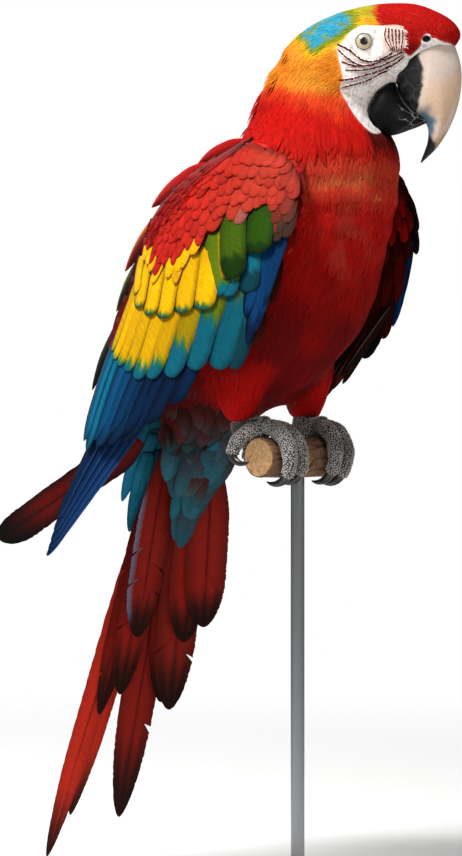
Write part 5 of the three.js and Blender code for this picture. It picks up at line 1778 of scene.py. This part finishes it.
def make_stage():
    """A pale floor that fades out into the studio's own pale surround."""
    mesh = bpy.data.meshes.new("studio_floor")
    bm = bmesh.new()
    bmesh.ops.create_circle(bm, cap_ends=True, radius=STAGE_RADIUS * MM, segments=96)
    bm.to_mesh(mesh)
    bm.free()
    floor = show("studio_floor", mesh)
    material, tree, shader = new_material("matt_white_studio_floor")
    set_sockets(shader, Base_Color=rgba("#F2F2F1"), Roughness=0.9)
    place = add_node(tree, "ShaderNodeTexCoord")
    far = add_node(tree, "ShaderNodeVectorMath", {0: place.outputs["Object"]}, operation="LENGTH")
    fade = add_node(tree, "ShaderNodeMapRange", {0: far.outputs["Value"], 1: 0.35, 2: 2.3, 3: 0.0, 4: 1.0},
                    interpolation_type="SMOOTHSTEP")
    clear = add_node(tree, "ShaderNodeBsdfTransparent")
    both = add_node(tree, "ShaderNodeMixShader", {0: fade.outputs[0], 1: shader.outputs[0], 2: clear.outputs[0]})
    tree.links.new(both.outputs[0], tree.nodes["Material Output"].inputs["Surface"])
    mesh.materials.append(material)


def aim(thing, place, target):
    """Puts a light or the camera at place, looking at target; both are in the bird's frame in mm."""
    thing.location = Vector(to_floor(place))
    thing.rotation_euler = Vector(target - place).to_track_quat("-Z", "Y").to_euler()


LIGHTS = [  # name, place in camera terms (right, up, towards the camera), size, watts
    ("key_softbox", (-1000, 2000, 1100), 800, 98),
    ("fill_softbox", (1300, 900, 1500), 1400, 9),
    ("back_softbox", (-900, 900, -1500), 1000, 14),
]


LIT_PLACE = np.array([0.0, 0.0, 150.0])


SENSOR = 36


def make_lights_and_camera():
    """The camera, three softboxes and a pale studio all round."""
    right, back = CAMERA_RIGHT, np.array([CAMERA_RIGHT[1], -CAMERA_RIGHT[0], 0])
    scale, (wide, high) = CAMERA["mm_per_pixel"], CAMERA["frame_px"]
    target = right * (wide / 2 - PERCH_MIDDLE_PX[0]) * scale + UP * (PERCH_MIDDLE_PX[1] - high / 2) * scale
    data = bpy.data.cameras.new("camera")
    data.sensor_width = SENSOR
    data.lens = SENSOR * CAMERA["distance"] / (high * scale)
    camera = show("camera", data)
    bpy.context.scene.camera = camera
    aim(camera, target + back * CAMERA["distance"], target)
    for name, (x, z, y), size, watts in LIGHTS:
        light = bpy.data.lights.new(name, "AREA")
        light.size = size * MM
        light.energy = watts
        aim(show(name, light), LIT_PLACE + right * x + UP * z + back * y, LIT_PLACE)
    world = bpy.data.worlds.new("studio")
    bpy.context.scene.world = world
    world.use_nodes = True
    tree = world.node_tree
    ambient = tree.nodes["Background"]
    set_sockets(ambient, Color=rgba("#F7F7F6"), Strength=0.27)
    seen = add_node(tree, "ShaderNodeBackground", {"Color": rgba("#FFFFFF"), "Strength": 1.0})
    rays = add_node(tree, "ShaderNodeLightPath")
    both = add_node(tree, "ShaderNodeMixShader", {
        0: rays.outputs["Is Camera Ray"], 1: ambient.outputs[0], 2: seen.outputs[0]})
    tree.links.new(both.outputs[0], tree.nodes["World Output"].inputs["Surface"])
    bpy.context.scene.view_settings.view_transform = "Standard"


make_stage()
make_lights_and_camera()
skin = make_skin()
skin_tree = skin.tree()
skin_flat = face_map(skin.points)
skin_colour = mix(coat_colour(skin.points), face_colour(skin.points, skin_flat, skin.crease),
                  bare_share(skin.points, skin_flat))
make_piece("skin", skin.points, skin.faces, SKIN, FLESH, skin_colour)
cover_body(skin, skin_tree)
collar(np.random.default_rng(21), skin_tree)
face_lines(skin_tree)
make_bill()
for wing_side, wing_name in SIDES:
    make_eye(wing_side, "eye_" + wing_name)
wing_rng = np.random.default_rng(71)
for wing_side, wing_name in SIDES:
    wing = "wing_" + wing_name
    for name, grow, slot, nodes in (
            ("coverts_", wing_coverts, "feathers_yellow", [wing + "_coverts"]),
            ("flight_feathers_", flight_feathers, "feathers_blue", [wing + "_secondaries", wing + "_primaries"]),
            ("under_wing_", under_wing, "feathers_deep_red", [wing + "_coverts"]),
            ("scapulars_", scapulars, "feathers_deep_red",
             ["scapular_%s_%d" % (wing_name, k) for k in range(1, 6)])):
        join_vanes(name + wing_name, sheet_places(grow(wing_rng, wing_side)), VANE, nodes)
tail_rng = np.random.default_rng(81)
tail_sets = sheet_places(tail_feathers(tail_rng))
join_vanes("tail_vanes", tail_sets, VANE, [*TAIL_FEATHERS, "tail_r6"])
covert_sets = [tail_coverts(tail_rng, True), tail_coverts(tail_rng, False), vent_feathers(tail_rng, skin_tree)]
join_vanes("tail_covert_vanes", sheet_places(covert_sets), VANE,
           ["tail_coverts_under", "tail_coverts_upper"])
make_feet()
make_perch()
make_stand()
